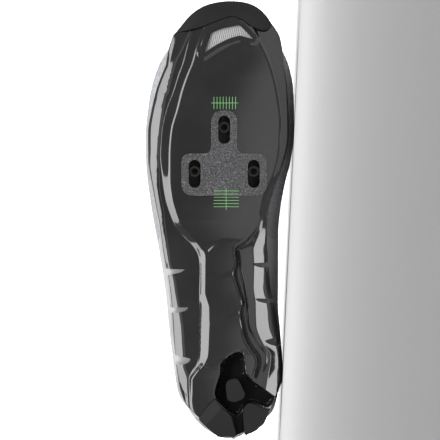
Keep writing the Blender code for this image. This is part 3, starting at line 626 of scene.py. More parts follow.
def across_section(x, y):
    """Relief of the sole towards the viewer at places of its plan: rails, grooves and the raised middle."""
    along = x / LENGTH
    outer, inner = ({name: height_at(table, name, along) for name in table if name != "along"}
                    for table in (OUTER_HEIGHTS, INNER_HEIGHTS))
    (arc_back, arc_front), (arc_outer, arc_inner) = SPINE_ARC["along"], SPINE_ARC["across"]
    bend = np.clip((arc_inner - y / BALL_WIDTH) / (arc_inner - arc_outer), 0, 1)
    arc = (arc_front - (arc_front - arc_back) * bend ** 2) * LENGTH
    middle = outer["panel"] * np.where(along < .5, smooth_step((arc - x) / FOLD), 1)
    middle = middle + overlaps(x, y, SHINGLES, SHINGLE_STEP)
    foot = outer["foot"] + overlaps(x, y, SIDE_SHINGLES, SHINGLE_STEP * .6)
    rail_in = line_at(OUTER_RAIL, "rail_in", along)
    groove, panel = (line_at(OUTER_LINES, name, along) for name in ("groove", "panel"))
    right, fold = (line_at(INNER_LINES, name, along) for name in ("panel", "fold"))
    knots = [
        (line_at(OUTER_RAIL, "rail_out", along), outer["rail_out"]),
        (rail_in, outer["rail_in"]),
        (np.minimum(rail_in + CREASE, groove), outer["groove"]),
        (groove, outer["groove"]),
        (groove + BEVEL, outer["groove"] + BEVEL),
        (panel, foot),
        (panel + outer["step"], middle),
        (right - LIP, middle),
        (right, middle + inner["lip"]),
        (line_at(INNER_LINES, "groove", along), inner["groove"]),
        (fold - FOLD, inner["groove"]),
        (fold, inner["fold"]),
        (line_at(INNER_LINES, "rail_in", along), inner["rail_in"]),
        (line_at(INNER_LINES, "crest", along), inner["crest"]),
    ]
    place, rise = (np.stack(rows) for rows in zip(*knots))
    place = np.maximum.accumulate(place + np.arange(len(knots))[:, None] * 1e-6, 0)
    found = rise[0] + 0 * x
    for k in range(len(knots) - 1):
        t = np.clip((y - place[k]) / (place[k + 1] - place[k]), 0, 1)
        found = found + (rise[k + 1] - rise[k]) * t
    return found


def sole_relief(x, y):
    """The relief softened like moulded edges, with the window's raised band and the heel's hollow."""
    total = 0
    spots = ((0, 0), (0, -1), (0, 1), (-1, 0), (1, 0), (0, -.5), (0, .5))
    for along, across in spots:
        total = total + across_section(x + along * RELIEF_BLUR, y + across * RELIEF_BLUR)
    relief = total / len(spots)
    places = np.stack([x, y], 1)
    inside = distance_inside(places, HOLLOW_PLAN)
    sunk = np.clip((inside + HOLLOW_SLOPE * .3) / HOLLOW_SLOPE, 0, 1)
    band = distance_inside(places, rounded(plan(WINDOW), WINDOW_CORNER, 4)) + BAND_WIDTH
    relief = relief + BAND_RISE * smooth_step(band / CREASE)
    floor = HOLLOW_DEPTH - HOLLOW_TILT * np.clip(y - HOLLOW_MIDDLE, -HOLLOW_REACH, HOLLOW_REACH)
    return relief * (1 - smooth_step(sunk)) - floor * smooth_step(sunk)


SOLE_COUNT = 330
SOLE_ROWS = 90
FALL_SHARES = (.12, .26, .42, .60, .80)
LEAST_FALL, MOST_OUTER_FALL, MOST_INNER_FALL = .9 * MM, 3.0 * MM, 6.5 * MM
EDGE_SEARCH, EDGE_BLUR = np.linspace(.6, 1, 240), 8
TURN_IN = .35 * MM
LIP_RISE = .35 * MM
LIP_BENDS = ((.12, 1), (.5, 1.4), (.88, 1))


def edge_falls(s, reach):
    """How far in from the edge each section starts to fall: about the outer rail or the inner crest."""
    away = reach[:, None] * EDGE_SEARCH[None, :]
    x, y = (s.centre[:, i, None] + s.out[:, i, None] * away for i in (0, 1))
    rail, crest = (np.interp(x / LENGTH, table["along"], table[name]) * BALL_WIDTH
                   for table, name in ((OUTER_RAIL, "rail_out"), (INNER_LINES, "crest")))
    outside = np.where(s.sign[:, None] < 0, y < rail, y > crest)
    found = np.where(outside, reach[:, None] - away, 0).max(1)
    fall = np.clip(found, LEAST_FALL, np.where(s.sign < 0, MOST_OUTER_FALL, MOST_INNER_FALL))
    return np.stack([np.roll(fall, k) for k in range(-EDGE_BLUR, EDGE_BLUR + 1)]).mean(0)


def sole_blank():
    """The whole sole before it is cut: its face, its side, its lip and the seat of the upper."""
    s = Sections(SOLE_COUNT)
    lower = s.lower()
    reach = s.length - s.inset - TURN_IN
    low = s.seat(1)[:, 2]
    edge_low = low - SOLE_EDGE
    fall = edge_falls(s, reach)
    rows = []
    for share in [*np.linspace(0, 1, SOLE_ROWS), *(1 + np.array(FALL_SHARES))]:
        away = (reach - fall) * min(share, 1) + fall * max(share - 1, 0)
        xy = s.centre + s.out * away[:, None]
        z = under_height(xy[:, 0]) - sole_relief(xy[:, 0], xy[:, 1])
        past = max(share - 1, 0) ** 1.5
        rows.append(np.column_stack([xy, z + (edge_low - z) * past]))
    outer_side = s.hugging(np.stack(lower, 1), GAP + SOLE_WALL)[:, 2:]
    corner = s.edge - s.out * (s.inset + .1 * MM)[:, None]
    wall = [np.column_stack([s.edge - s.out * (s.inset + TURN_IN)[:, None], edge_low]),
            np.column_stack([corner, low - SOLE_EDGE * .6]), outer_side[:, 0], outer_side[:, 1]]
    wall = refined(np.stack(wall, 1), 4)
    inner = s.under_bed(np.stack(s.bed_lines() + lower, 1), GAP)
    lip = inner[:, -1] - wall[:, -1]
    rise = np.array([0, 0, LIP_RISE])
    top = [wall[:, -1] + lip * share + rise * high for share, high in LIP_BENDS]
    return lofted("outsole", np.concatenate([np.stack(rows, 1), wall, np.stack(top, 1), inner[:, ::-1]], 1))


FAR, DEEP = 30 * MM, 50 * MM
GRIP_THICKNESS = 1.0 * MM
GRIP_ENDS = (.556 * LENGTH, .755 * LENGTH)
GRIP_SUNK = .2 * MM
BORDER = {"front": 4.5 * MM, "ahead": 3.9 * MM, "behind": 5.0 * MM, "side": 4.6 * MM, "tip": 3.3 * MM}


def grip_outline():
    """The grip patch: a round lobe about the front slot on a wider block round the rear two."""
    rear, front = CLEAT_CENTRE, CLEAT_CENTRE + CLEAT_SLOT_STEP
    lobe = CLEAT_SLOT_WIDTH / 2 + BORDER["front"]
    block = CLEAT_SLOT_SPREAD / 2 + CLEAT_SLOT_WIDTH / 2 + BORDER["side"]
    tip = front + CLEAT_SLOT_LENGTH / 2 + BORDER["tip"]
    ahead = rear + CLEAT_SLOT_LENGTH / 2 + BORDER["ahead"]
    behind = rear - CLEAT_SLOT_LENGTH / 2 - BORDER["behind"]
    corners = [(tip, -lobe), (tip, lobe), (ahead, lobe), (ahead, block), (behind, block), (behind, -block),
               (ahead, -block), (ahead, -lobe)]
    return rounded(corners, [radius * MM for radius in (8.0, 8.0, 5.0, 6.0, 8.0, 8.0, 6.0, 5.0)], 10)


def slot_cutters(room=0, top=DEEP):
    """Upright prisms through the three cleat slots, larger than the slots by some room."""
    half = CLEAT_SLOT_SPREAD / 2
    centres = ((CLEAT_CENTRE + CLEAT_SLOT_STEP, 0), (CLEAT_CENTRE, -half), (CLEAT_CENTRE, half))
    return [prism("cleat_slot", stadium(x, y, CLEAT_SLOT_LENGTH + room, CLEAT_SLOT_WIDTH + room), -FAR, top)
            for x, y in centres]


def toe_region(back=0):
    """Plan of all that lies ahead of the bumper's edge, or from a little further back."""
    edge = rounded([(x - back, y) for x, y in plan(TOE_EDGE)], 3 * MM)
    return edge[CORNER_STEPS + 1:-CORNER_STEPS - 1] + [(LENGTH + FAR, FAR * 2), (LENGTH + FAR, -FAR * 2)]


def grip_height(x):
    """The middle of the grip sheet's thickness, straight between its two ends."""
    near, away = GRIP_ENDS
    share = (x - near) / (away - near)
    return (under_height(near) - GRIP_SUNK) * (1 - share) + (under_height(away) - GRIP_SUNK) * share


FRONT_PAD, REAR_PADS, SHAVED_PLACE = .125 * LENGTH, .06 * LENGTH, .07 * LENGTH
REAR_PAD_DEPTH = 2.2 * MM


def pad_seat(name):
    """The height up to which a heel pad reaches into the sole."""
    if name == "front":
        return under_height(FRONT_PAD) + HOLLOW_DEPTH - GAP
    return under_height(REAR_PADS) + REAR_PAD_DEPTH


HEEL_STEM = (
    (.125, .015), (.125, .16), (.105, .20), (-.03, .20), (-.03, .02), (.105, .02),
)
FLOOR_MARGIN, FLOOR_STEEPNESS = .2 * MM, .80


def paint_heel_hollow_shade(mesh):
    """Painted shade: the floor of the heel hollow and of the grooves between the pads is near-black matt."""
    mesh.materials.append(HOLLOW_PAINTED_SHADE)
    back = np.array(SHOE.inverted())
    centres = np.array([face.center for face in mesh.polygons]) @ back[:3, :3].T + back[:3, 3]
    facing = np.array([face.normal for face in mesh.polygons]) @ back[:3, :3].T
    inside = distance_inside(centres[:, :2], HOLLOW_PLAN)
    stem = distance_inside(centres[:, :2], plan(HEEL_STEM))
    for face, deep, low, down in zip(mesh.polygons, inside, stem, facing[:, 2]):
        face.material_index = int(max(deep, low) > -FLOOR_MARGIN and down < -FLOOR_STEEPNESS)


def make_outsole():
    """Glossy sole, cut open for the toe, the window, the slots, the grip sheet and the rear heel pads."""
    cutters = [prism("toe_cut", toe_region(GAP), -FAR, DEEP)]
    cutters.append(prism("window_cut", WINDOW_PLAN, -FAR, DEEP))
    cutters += [prism("side_slot", rounded(plan(rows), SLOT_CORNER), -FAR, DEEP) for rows in SIDE_SLOTS]
    cutters += slot_cutters()
    cutters.append(prism("grip_pocket", grown(grip_outline(), GAP), -FAR,
                         lambda x, y: grip_height(x) + GRIP_THICKNESS / 2 + GAP))
    for name in ("lateral", "medial"):
        cutters.append(prism("pad_seat", grown(rounded(plan(HEEL_PADS[name]), SEAT_CORNER), GAP), -FAR,
                             pad_seat(name) + GAP))
    item = piece("moulded_outsole", cut(sole_blank(), cutters), GLOSS_SOLE, 40, "outsole")
    # The heel hollow's floor and the pad grooves get painted shade.
    paint_heel_hollow_shade(item.data)


def make_grip():
    """Gritty sheet with its three slots, a little proud of the sole."""
    half = GRIP_THICKNESS / 2
    sheet = prism("grip", grip_outline(), lambda x, y: grip_height(x) - half,
                  lambda x, y: grip_height(x) + half)
    item = piece("gritty_grip_sheet", cut(sheet, slot_cutters()), GRIT, 40, "cleat_grip_pad")
    soften(item, width=.2 * MM, segments=2, angle=40)


def soften(item, width, segments, angle):
    """Rounds a piece's edges that are sharper than an angle."""
    edge = item.modifiers.new("rounded_edges", "BEVEL")
    edge.width = width
    edge.segments = segments
    edge.limit_method = "ANGLE"
    edge.angle_limit = radians(angle)


PAD_RISE = 3.0 * MM
PAD_CREASE = ((.0834, -.025), (.0469, -.120))
PAD_SHAVING = .24
SHAVED_OFF = .05 * MM


def facet_cutter(crease, slope):
    """A wedge that shaves the lateral heel pad's outer corner, from the crease outwards."""
    (x0, y0), (x1, y1) = plan(crease)
    along = Vector((x1 - x0, y1 - y0)).normalized()
    out = Vector((along.y, -along.x))
    if out.y > 0:
        out = -out
    face = float(under_height(SHAVED_PLACE)) - PAD_RISE
    start, end = Vector((x0, y0)) - along * FAR, Vector((x1, y1)) + along * FAR
    corners = [start, end, end + out * FAR, start + out * FAR]
    return prism("facet", corners, -FAR,
                 lambda x, y: face + slope * (Vector((x, y)) - start).dot(out) + SHAVED_OFF)


def make_heel_pads():
    """Three rubber pads, the lateral one shaved off towards its outer corner."""
    for name, rows in HEEL_PADS.items():
        mesh = prism(name, rounded(plan(rows), PAD_CORNER, 5),
                     lambda x, y: float(under_height(x)) - PAD_RISE, float(pad_seat(name)))
        if name == "lateral":
            mesh = cut(mesh, [facet_cutter(PAD_CREASE, PAD_SHAVING)])
        item = piece(f"rubber_heel_pad_{name}", mesh, MATT_RUBBER, 30, f"heel_pad_{name}")
        soften(item, width=.8 * MM, segments=3, angle=7)


BUMPER_COUNT = 420
BUMPER_ROWS = 34
BUMPER_DOME = .7 * MM
BUMPER_ROUNDING = 7 * MM


def make_toe_bumper():
    """Rubber over the toe's tip, under the foot and up the front of the upper."""
    s = Sections(BUMPER_COUNT, TOE_TURN)
    lower = s.lower() + s.above() + [s.upward(rise) for rise in RISES[:2]]
    inner = s.under_bed(np.stack(s.bed_lines() + lower, 1), GAP)
    outer = refined(s.hugging(np.stack(lower, 1), GAP + SOLE_WALL)[:, 2:], 5)
    reach, edge_low = s.length - s.inset - .5 * MM, s.seat(1)[:, 2] - SOLE_EDGE
    rows = []
    for share in np.linspace(0, 1, BUMPER_ROWS):
        xy = s.centre + s.out * (reach * share)[:, None]
        near = np.clip(1 - (reach * (1 - share)) / BUMPER_ROUNDING, 0, 1) ** 1.7
        face = under_height(xy[:, 0]) - BUMPER_DOME * smooth_step((share - .3) / .3)
        rows.append(np.column_stack([xy, face + (edge_low - face) * near]))
    mesh = lofted("bumper", np.concatenate([np.stack(rows, 1), outer, inner[:, ::-1]], 1), False)
    mesh = cut(mesh, [prism("toe_region", toe_region(), -FAR, DEEP * 2)], "INTERSECT")
    item = piece("rubber_toe_bumper", mesh, MATT_RUBBER, 40, "toe_bumper")
    soften(item, width=.5 * MM, segments=3, angle=50)


RIB_PITCH, RIB_DEPTH, RIB_SLANT = 1.30 * MM, .70 * MM, .22
WEAVE_PITCH, WEAVE_DEPTH = .9 * MM, .06 * MM
MESH_FACE, MESH_BACK = 1.3 * MM, 2.3 * MM


def make_vent():
    """White mesh in the toe window, ribbed along the shoe."""
    window = plan(WINDOW)
    (x0, y0), (x1, y1) = np.min(window, 0) - 1 * MM, np.max(window, 0) + 1 * MM
    x, y = np.meshgrid(np.linspace(x0, x1, 60), np.arange(y0, y1, RIB_PITCH / 8), indexing="ij")
    wave = np.abs(np.sin(pi * (y + RIB_SLANT * (x - x0)) / RIB_PITCH)) ** .6 * RIB_DEPTH
    weave = WEAVE_DEPTH * np.sin(2 * pi * x / WEAVE_PITCH)
    top = np.stack([x, y, under_height(x) + MESH_FACE - wave + weave], -1).reshape(-1, 3)
    back = np.stack([x, y, under_height(x) + MESH_BACK], -1).reshape(-1, 3)
    n, m = x.shape
    face = grid_faces(n, m, False)
    rim = [i * m for i in range(n)] + [(n - 1) * m + j for j in range(1, m)]
    rim += [i * m + m - 1 for i in range(n - 2, -1, -1)] + list(range(m - 2, 0, -1))
    sides = [(a, b, n * m + b, n * m + a) for a, b in zip(rim, rim[1:] + rim[:1])]
    slab = mesh_from("vent", np.vstack([top, back]), np.vstack([face, face + n * m]), sides)
    mesh = cut(slab, [prism("vent_edge", grown(WINDOW_PLAN, -GAP / 2), -FAR, DEEP)], "INTERSECT")
    piece("ribbed_vent_mesh", mesh, WHITE_MESH, 60, "toe_vent_mesh")


INSOLE_COUNT = 140


def make_insole():
    """Dark foam over the foot bed, a little above the upper's margin."""
    s = Sections(INSOLE_COUNT)
    seats = s.bed_lines()
    seats += [seats[3] * .3 + s.seat(1) * .7, s.seat(1)]
    low = refined(s.under_bed(np.stack(seats, 1), -UPPER_WALL - GAP * 1.5)[:, :-1], 3)
    high = low[:, ::-1] + np.array([0, 0, INSOLE_THICKNESS])
    mesh = lofted("insole", np.concatenate([low, high], 1))
    piece("foam_insole", mesh, DARK_FOAM, 50, "insole")


def top_line_height(share):
    """Height of the upper's top line along the throat, led on with a slope behind its last place."""
    along, height = TOP["along"][3:9][::-1], TOP["height"][3:9][::-1]
    return (float(np.interp(share, along, height)) + max(along[0] - share, 0) * 1.1) * COLLAR_FRONT_HEIGHT


def make_tongue():
    """Padded strip that fills the throat from below and passes under its two edges."""
    curves, across = [], (-1, -.7, -.35, 0, .35, .7, 1)
    for place, opening, outer, inner, fall, cover in zip(*TONGUE.values()):
        cover = UPPER_WALL * cover + GAP * 2
        lean = float(row(TOP_LEAN, "lean", place)) * BALL_WIDTH
        opening, outer, inner = opening * BALL_WIDTH, outer * BALL_WIDTH, inner * BALL_WIDTH
        free = min(opening / (.12 * BALL_WIDTH), 1) ** 2
        crown = (cover + opening * .15) * free - cover
        rows = [(-opening - outer, -cover - fall * outer)]
        rows += [(a * opening, crown - (crown + cover) * a * a) for a in across]
        rows.append((opening + inner, -cover - fall * inner * 1.3))
        curves.append([(place * LENGTH, lean + y, top_line_height(place) + z) for y, z in rows])
    curves = refined(np.swapaxes(refined(np.array(curves), 4), 0, 1), 5).swapaxes(0, 1)
    under = curves[:, ::-1] - np.array([0, 0, TONGUE_THICKNESS])
    mesh = lofted("tongue", np.concatenate([curves, under], 1), False, True)
    piece("padded_tongue", mesh, TONGUE_CLOTH, 60, "tongue")


UPPER_COUNT = 150
SLOT_ROOM, MARGIN_TOP = 1.5 * MM, 18 * MM
RISES = (.14, .30, .48, .66, .84, 1)


def make_upper():
    """Shell of one wall on the true last, its turned-in margin open behind the cleat slots."""
    s = Sections(UPPER_COUNT)
    lines = s.bed_lines()[2:] + s.lower() + s.above() + [s.upward(rise) for rise in RISES]
    points = refined(np.stack(lines, 1), 4)
    mesh = lofted("upper", points)
    smoothed(mesh, 60)
    sheet = placed("sheet", mesh)
    shell = sheet.modifiers.new("wall", "SOLIDIFY")
    shell.thickness = UPPER_WALL
    shell.offset = -1
    shell.use_even_offset = False
    shell.use_quality_normals = True
    solid = evaluated(sheet)
    bpy.data.objects.remove(sheet, do_unlink=True)
    solid = cut(solid, slot_cutters(SLOT_ROOM, MARGIN_TOP))
    piece("cloth_upper", solid, GLITTER_CLOTH, 50, "upper")
    return s, points


def tube(name, path, radii, finish, sides=12):
    """A cord or rolled edge along a path of the standing shoe; radii are its half width and half height."""
    path = np.asarray(path, float)
    along = np.gradient(path, axis=0)
    along /= np.linalg.norm(along, axis=1, keepdims=True)
    side = np.cross(along, np.array([0, 0, 1.0]))
    side /= np.maximum(np.linalg.norm(side, axis=1, keepdims=True), 1e-9)
    up = np.cross(side, along)
    turns = np.linspace(0, 2 * pi, sides, endpoint=False)
    points = np.stack([path + side * radii[0] * cos(t) + up * radii[1] * sin(t) for t in turns], 1)
    piece(name, lofted(name, points, False, True), finish, 60)


BINDING_START = .44
COLLAR_MIDDLE, COLLAR_BEND = .22 * LENGTH, .10 * LENGTH
HEEL_SEAM = 5.8 * MM
SEAM_START, SEAM_ROWS = .85, slice(16, -2)


def make_collar(s):
    """Rolled binding round the collar and down both sides of the throat."""
    path = np.vstack([s.top[(s.sign == side) & (s.q >= BINDING_START)] for side in (1, -1)])
    inward = np.array([COLLAR_MIDDLE, 0]) - path[:, :2]
    inward[path[:, 0] > COLLAR_BEND, 0] = 0
    inward /= np.linalg.norm(inward, axis=1, keepdims=True)
    path[:, :2] += inward * UPPER_WALL * .5
    path = refined(path[None], 3)[0]
    tube("collar_binding", path, (1.7 * MM, 1.5 * MM), BINDING_CLOTH)


def make_heel_seam(s, points):
    """Raised seam down the heel's back, on the upper's face."""
    lines = points[(s.sign > 0) & (s.q > SEAM_START)][:, SEAM_ROWS]
    order = np.argsort(lines[:, 0, 1])
    path = []
    for k in range(lines.shape[1]):
        y = lines[order, k, 1]
        path.append([np.interp(HEEL_SEAM, y, lines[order, k, c]) for c in range(3)])
    tube("heel_seam", np.array(path), (.9 * MM, .5 * MM), SEAM_THREAD, 8)


SCALE_LINE = .22 * MM
INK_RISE = .05 * MM
UPPER_SCALE = {"rows": (.7648,), "row_span": (-.086, .094), "columns": np.linspace(-.068, .075, 8),
               "column_span": (.7511, .7786)}
LOWER_SCALE = {"rows": np.linspace(.5337, .5691, 6), "row_span": (-.069, .098), "columns": (.013,),
               "column_span": (.5269, .5753)}
LENGTH_MARK = {"rows": (.6595,), "row_span": (.273, .335), "columns": (), "column_span": (0, 0)}


def face_height(x, y):
    """The lowest face at a place of the forefoot: the grip sheet's where it lies, else the sole's."""
    on_grip = distance_inside([(x, y)], grip_outline())[0] > 0
    return grip_height(x) - GRIP_THICKNESS / 2 if on_grip else float(under_height(x))


def make_scales():
    """Printed alignment scales, as a film a little thicker than ink."""
    for name, (scale, finish) in {"upper_scale": (UPPER_SCALE, GREEN_INK),
                                  "lower_scale": (LOWER_SCALE, GREEN_INK),
                                  "length_mark": (LENGTH_MARK, GREY_INK)}.items():
        lines = [[(row * LENGTH, side * BALL_WIDTH) for side in np.linspace(*scale["row_span"], 14)]
                 for row in scale["rows"]]
        lines += [[(place * LENGTH, side * BALL_WIDTH) for place in np.linspace(*scale["column_span"], 14)]
                  for side in scale["columns"]]
        points, faces = [], []
        for line in lines:
            start, end = Vector(line[0]), Vector(line[-1])
            out = (end - start).normalized().orthogonal() * SCALE_LINE / 2
            first = len(points)
            for x, y in line:
                z = face_height(x, y) - INK_RISE
                points += [(x + out.x, y + out.y, z), (x - out.x, y - out.y, z)]
            faces += [(first + 2 * k, first + 2 * k + 1, first + 2 * k + 3, first + 2 * k + 2)
                      for k in range(len(line) - 1)]
        piece(name, mesh_from(name, points, faces), finish)


def material(name, colour, roughness, metallic=0.0, gleam=.5):
    """A new material, with its node tree and its shader."""
    made = bpy.data.materials.new(name)
    made.use_nodes = True
    shader = made.node_tree.nodes["Principled BSDF"]
    shader.inputs["Base Color"].default_value = (*colour, 1)
    shader.inputs["Roughness"].default_value = roughness
    shader.inputs["Metallic"].default_value = metallic
    shader.inputs["Specular IOR Level"].default_value = gleam
    return made, made.node_tree, shader


def add(tree, kind, values=(), **settings):
    """A node with its settings and its inputs, each a value or another node's output."""
    node = tree.nodes.new(kind)
    for key, value in settings.items():
        setattr(node, key, value)
    for key, value in dict(values).items():
        if hasattr(value, "links"):
            tree.links.new(value, node.inputs[key])
        else:
            node.inputs[key].default_value = value
    return node


def maths(tree, operation, first, second, clamp=False):
    return add(tree, "ShaderNodeMath", {0: first, 1: second}, operation=operation, use_clamp=clamp).outputs[0]


def noise(tree, scale, detail, roughness=.5):
    """Noise in the object's own space."""
    place = add(tree, "ShaderNodeTexCoord").outputs["Object"]
    values = {"Vector": place, "Scale": scale, "Detail": detail, "Roughness": roughness}
    return add(tree, "ShaderNodeTexNoise", values).outputs["Fac"]


def new_group(name, inputs, output):
    """An empty shader group, with the sockets inside it that give its inputs and take its output."""
    tree = bpy.data.node_groups.new(name, "ShaderNodeTree")
    for label, default in inputs.items():
        socket = tree.interface.new_socket(label, in_out="INPUT", socket_type="NodeSocketFloat")
        socket.default_value = default
    tree.interface.new_socket(output, in_out="OUTPUT", socket_type="NodeSocketFloat")
    return tree, tree.nodes.new("NodeGroupInput").outputs, tree.nodes.new("NodeGroupOutput").inputs[output]


def make_grain_group():
    """Even grain over a surface, as a height."""
    tree, given, found = new_group("surface_grain", {"Scale": 1000.0, "Detail": 2.0}, "Height")
    tree.links.new(noise(tree, given["Scale"], given["Detail"]), found)
    return tree


def make_speck_group():
    """Small specks, more of them as the amount grows."""
    inputs = {"Scale": 1500.0, "Amount": .3, "Sharpness": 8.0}
    tree, given, found = new_group("scattered_specks", inputs, "Mask")
    limit = maths(tree, "SUBTRACT", .72, given["Amount"])
    above = maths(tree, "SUBTRACT", noise(tree, given["Scale"], 1.0), limit)
    tree.links.new(maths(tree, "MULTIPLY", above, given["Sharpness"], True), found)
    return tree


def make_dust_group():
    """Faint uneven dust, in broad soft patches broken by grain."""
    tree, given, found = new_group("uneven_dust", {"Scale": 25.0, "Amount": .2}, "Mask")
    raised = maths(tree, "SUBTRACT", noise(tree, given["Scale"], 6.0, .62), .42)
    spread = maths(tree, "MULTIPLY", raised, 4.0, True)
    tree.links.new(maths(tree, "MULTIPLY", spread, given["Amount"]), found)
    return tree


GRAIN_GROUP, SPECK_GROUP, DUST_GROUP = make_grain_group(), make_speck_group(), make_dust_group()


def filled(tree, group, **values):
    """What a group puts out, with its inputs set."""
    node = tree.nodes.new("ShaderNodeGroup")
    node.node_tree = group
    for key, value in values.items():
        node.inputs[key].default_value = value
    return node.outputs[0]


def mixed(tree, mask, *colours):
    """A colour between two, by a mask."""
    node = add(tree, "ShaderNodeMix", {"Factor": mask}, data_type="RGBA")
    sockets = [socket for socket in node.inputs if socket.type == "RGBA"]
    for socket, colour in zip(sockets, colours):
        if hasattr(colour, "links"):
            tree.links.new(colour, socket)
        else:
            socket.default_value = (*colour, 1)
    return [socket for socket in node.outputs if socket.type == "RGBA"][0]


def ranged(tree, value, low, high):
    """A value of 0 to 1, spread between two limits."""
    return add(tree, "ShaderNodeMapRange", {"Value": value, "To Min": low, "To Max": high}).outputs["Result"]


def bumped(tree, height, strength, distance, **normal):
    """A normal bent by a height, on top of another normal where one is given."""
    values = {"Height": height, "Strength": strength, "Distance": distance, **normal}
    return add(tree, "ShaderNodeBump", values).outputs["Normal"]


def detailed(name, colour, dust, amount, roughness, grain, strength, depth, metallic=0.0, gleam=.5):
    """A plain material with faint dust, uneven roughness and a fine grain."""
    made, tree, shader = material(name, colour, roughness[0], metallic, gleam)
    mask = filled(tree, DUST_GROUP, Amount=amount)
    tree.links.new(mixed(tree, mask, colour, dust), shader.inputs["Base Color"])
    height = filled(tree, GRAIN_GROUP, Scale=grain, Detail=3.0)
    tree.links.new(ranged(tree, height, *roughness), shader.inputs["Roughness"])
    tree.links.new(bumped(tree, height, strength, depth), shader.inputs["Normal"])
    return made


def make_gloss():
    """Clear-coated black moulding: under the even coat the laminate is faintly wavy."""
    grain = (320.0, .05, .05 * MM)
    made = detailed("gloss_sole", (.011, .011, .012), (.03, .03, .03), .25, (.10, .20), *grain)
    tree = made.node_tree
    shader = tree.nodes["Principled BSDF"]
    shader.inputs["Coat Weight"].default_value = 1
    shader.inputs["Coat Roughness"].default_value = .05
    grained = bumped(tree, filled(tree, GRAIN_GROUP, Scale=grain[0], Detail=3.0), *grain[1:])
    wave = filled(tree, GRAIN_GROUP, Scale=45.0, Detail=1.0)
    tree.links.new(bumped(tree, wave, .35, .12 * MM, Normal=grained), shader.inputs["Normal"])
    return made


def make_grit():
    """Grey gritty sheet: dark and light grains side by side."""
    made, tree, shader = material("grey_grit", (.1, .1, .1), .85)
    light = filled(tree, SPECK_GROUP, Scale=1500.0, Amount=.20, Sharpness=9.0)
    dark = filled(tree, SPECK_GROUP, Scale=1150.0, Amount=.15, Sharpness=9.0)
    base = mixed(tree, dark, (.055, .055, .058), (.018, .018, .019))
    tree.links.new(mixed(tree, light, base, (.16, .16, .165)), shader.inputs["Base Color"])
    height = filled(tree, GRAIN_GROUP, Scale=1500.0, Detail=1.0)
    tree.links.new(bumped(tree, height, .8, .25 * MM), shader.inputs["Normal"])
    return made


WHITE_FROM, WHITE_TO = .118 * LENGTH, .478 * LENGTH + .012
WHITE_LEAN = .45


def make_glitter():
    """Silver glittering cloth at the toe and the heel, plain white over the middle of the foot."""
    made, tree, shader = material("glitter_cloth", SILVER, .5, 0.0, .2)
    back = SHOE.inverted()
    place = add(tree, "ShaderNodeTexCoord")
    mapping = add(tree, "ShaderNodeMapping", {"Vector": place.outputs["Object"]}, vector_type="POINT")
    mapping.inputs["Location"].default_value = back.to_translation()
    mapping.inputs["Rotation"].default_value = back.to_euler()
    parts = add(tree, "ShaderNodeSeparateXYZ", {"Vector": mapping.outputs["Vector"]})
    leaned = maths(tree, "ADD", parts.outputs["X"], maths(tree, "MULTIPLY", parts.outputs["Z"], WHITE_LEAN))
    first = maths(tree, "GREATER_THAN", leaned, WHITE_FROM)
    last = maths(tree, "LESS_THAN", leaned, WHITE_TO)
    white = maths(tree, "MULTIPLY", first, last)
    bright = filled(tree, SPECK_GROUP, Scale=1900.0, Amount=.17, Sharpness=12.0)
    dark = filled(tree, SPECK_GROUP, Scale=1300.0, Amount=.15, Sharpness=7.0)
    silver = mixed(tree, bright, mixed(tree, dark, SILVER, DARK_SILVER), BRIGHT_SILVER)
    tree.links.new(mixed(tree, white, silver, WHITE), shader.inputs["Base Color"])
    grain = filled(tree, GRAIN_GROUP, Scale=1400.0, Detail=2.0)
    tree.links.new(ranged(tree, grain, .40, .65), shader.inputs["Roughness"])
    tree.links.new(bumped(tree, grain, .35, .12 * MM), shader.inputs["Normal"])
    return made


FLOOR_TONE = (.50, .50, .50)
WHITE = (.46, .46, .47)
SILVER, DARK_SILVER, BRIGHT_SILVER = (.30, .305, .32), (.19, .20, .21), (.62, .63, .66)
GLITTER_CLOTH = make_glitter()
GLOSS_SOLE = make_gloss()
GRIT = make_grit()
# Colour, dust's colour and amount, roughness from and to, and the grain's scale, strength and depth.
TONGUE_CLOTH = detailed("tongue_cloth", (.40, .41, .43), (.30, .30, .31), .3, (.6, .85), 1600.0, .5, .2 * MM)
BINDING_CLOTH = detailed("binding_cloth", (.30, .31, .33), (.22, .22, .23), .3, (.6, .9), 2000.0, .6, .2 * MM)
SEAM_THREAD = detailed("seam_thread", (.12, .12, .13), (.2, .2, .2), .2, (.6, .9), 2600.0, .6, .15 * MM)
WHITE_MESH = detailed("white_mesh", (.44, .44, .44), (.34, .34, .34), .3, (.6, .8), 1800.0, .3, .1 * MM)
MATT_RUBBER = detailed("matt_rubber", (.013, .013, .014), (.022, .022, .022), .4, (.45, .62), 1500.0, .30,
                       .1 * MM, gleam=.28)
# Painted shade for the heel hollow's floor and the pad grooves: near-black and matt.
HOLLOW_PAINTED_SHADE = detailed("hollow_painted_shade", (.004, .004, .004), (.008, .008, .008), .4, (.5, .7), 900.0, .2,
                        .1 * MM, gleam=.10)
STEEL = detailed("nut_steel", (.06, .06, .06), (.03, .03, .03), .5, (.25, .45), 900.0, .1, .03 * MM, 1.0)
DARK_FOAM = detailed("dark_foam", (.060, .050, .045), (.09, .08, .075), .4, (.8, .95), 1200.0, .5, .3 * MM)
GREEN_INK = detailed("green_ink", (.30, .78, .26), (.20, .55, .18), .5, (.4, .6), 900.0, .1, .02 * MM)
GREY_INK = detailed("grey_ink", (.10, .10, .10), (.05, .05, .05), .8, (.4, .6), 900.0, .1, .02 * MM)

make_outsole()
make_grip()
make_heel_pads()
make_toe_bumper()
make_vent()
make_insole()
make_tongue()
upper_sections, upper_lines = make_upper()
make_collar(upper_sections)
make_heel_seam(upper_sections, upper_lines)
make_scales()
for node in ("cleat_nut_front", "cleat_nut_lateral", "cleat_nut_medial"):
    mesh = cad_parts[node].data
    for index in range(len(mesh.materials)):
        mesh.materials[index] = STEEL

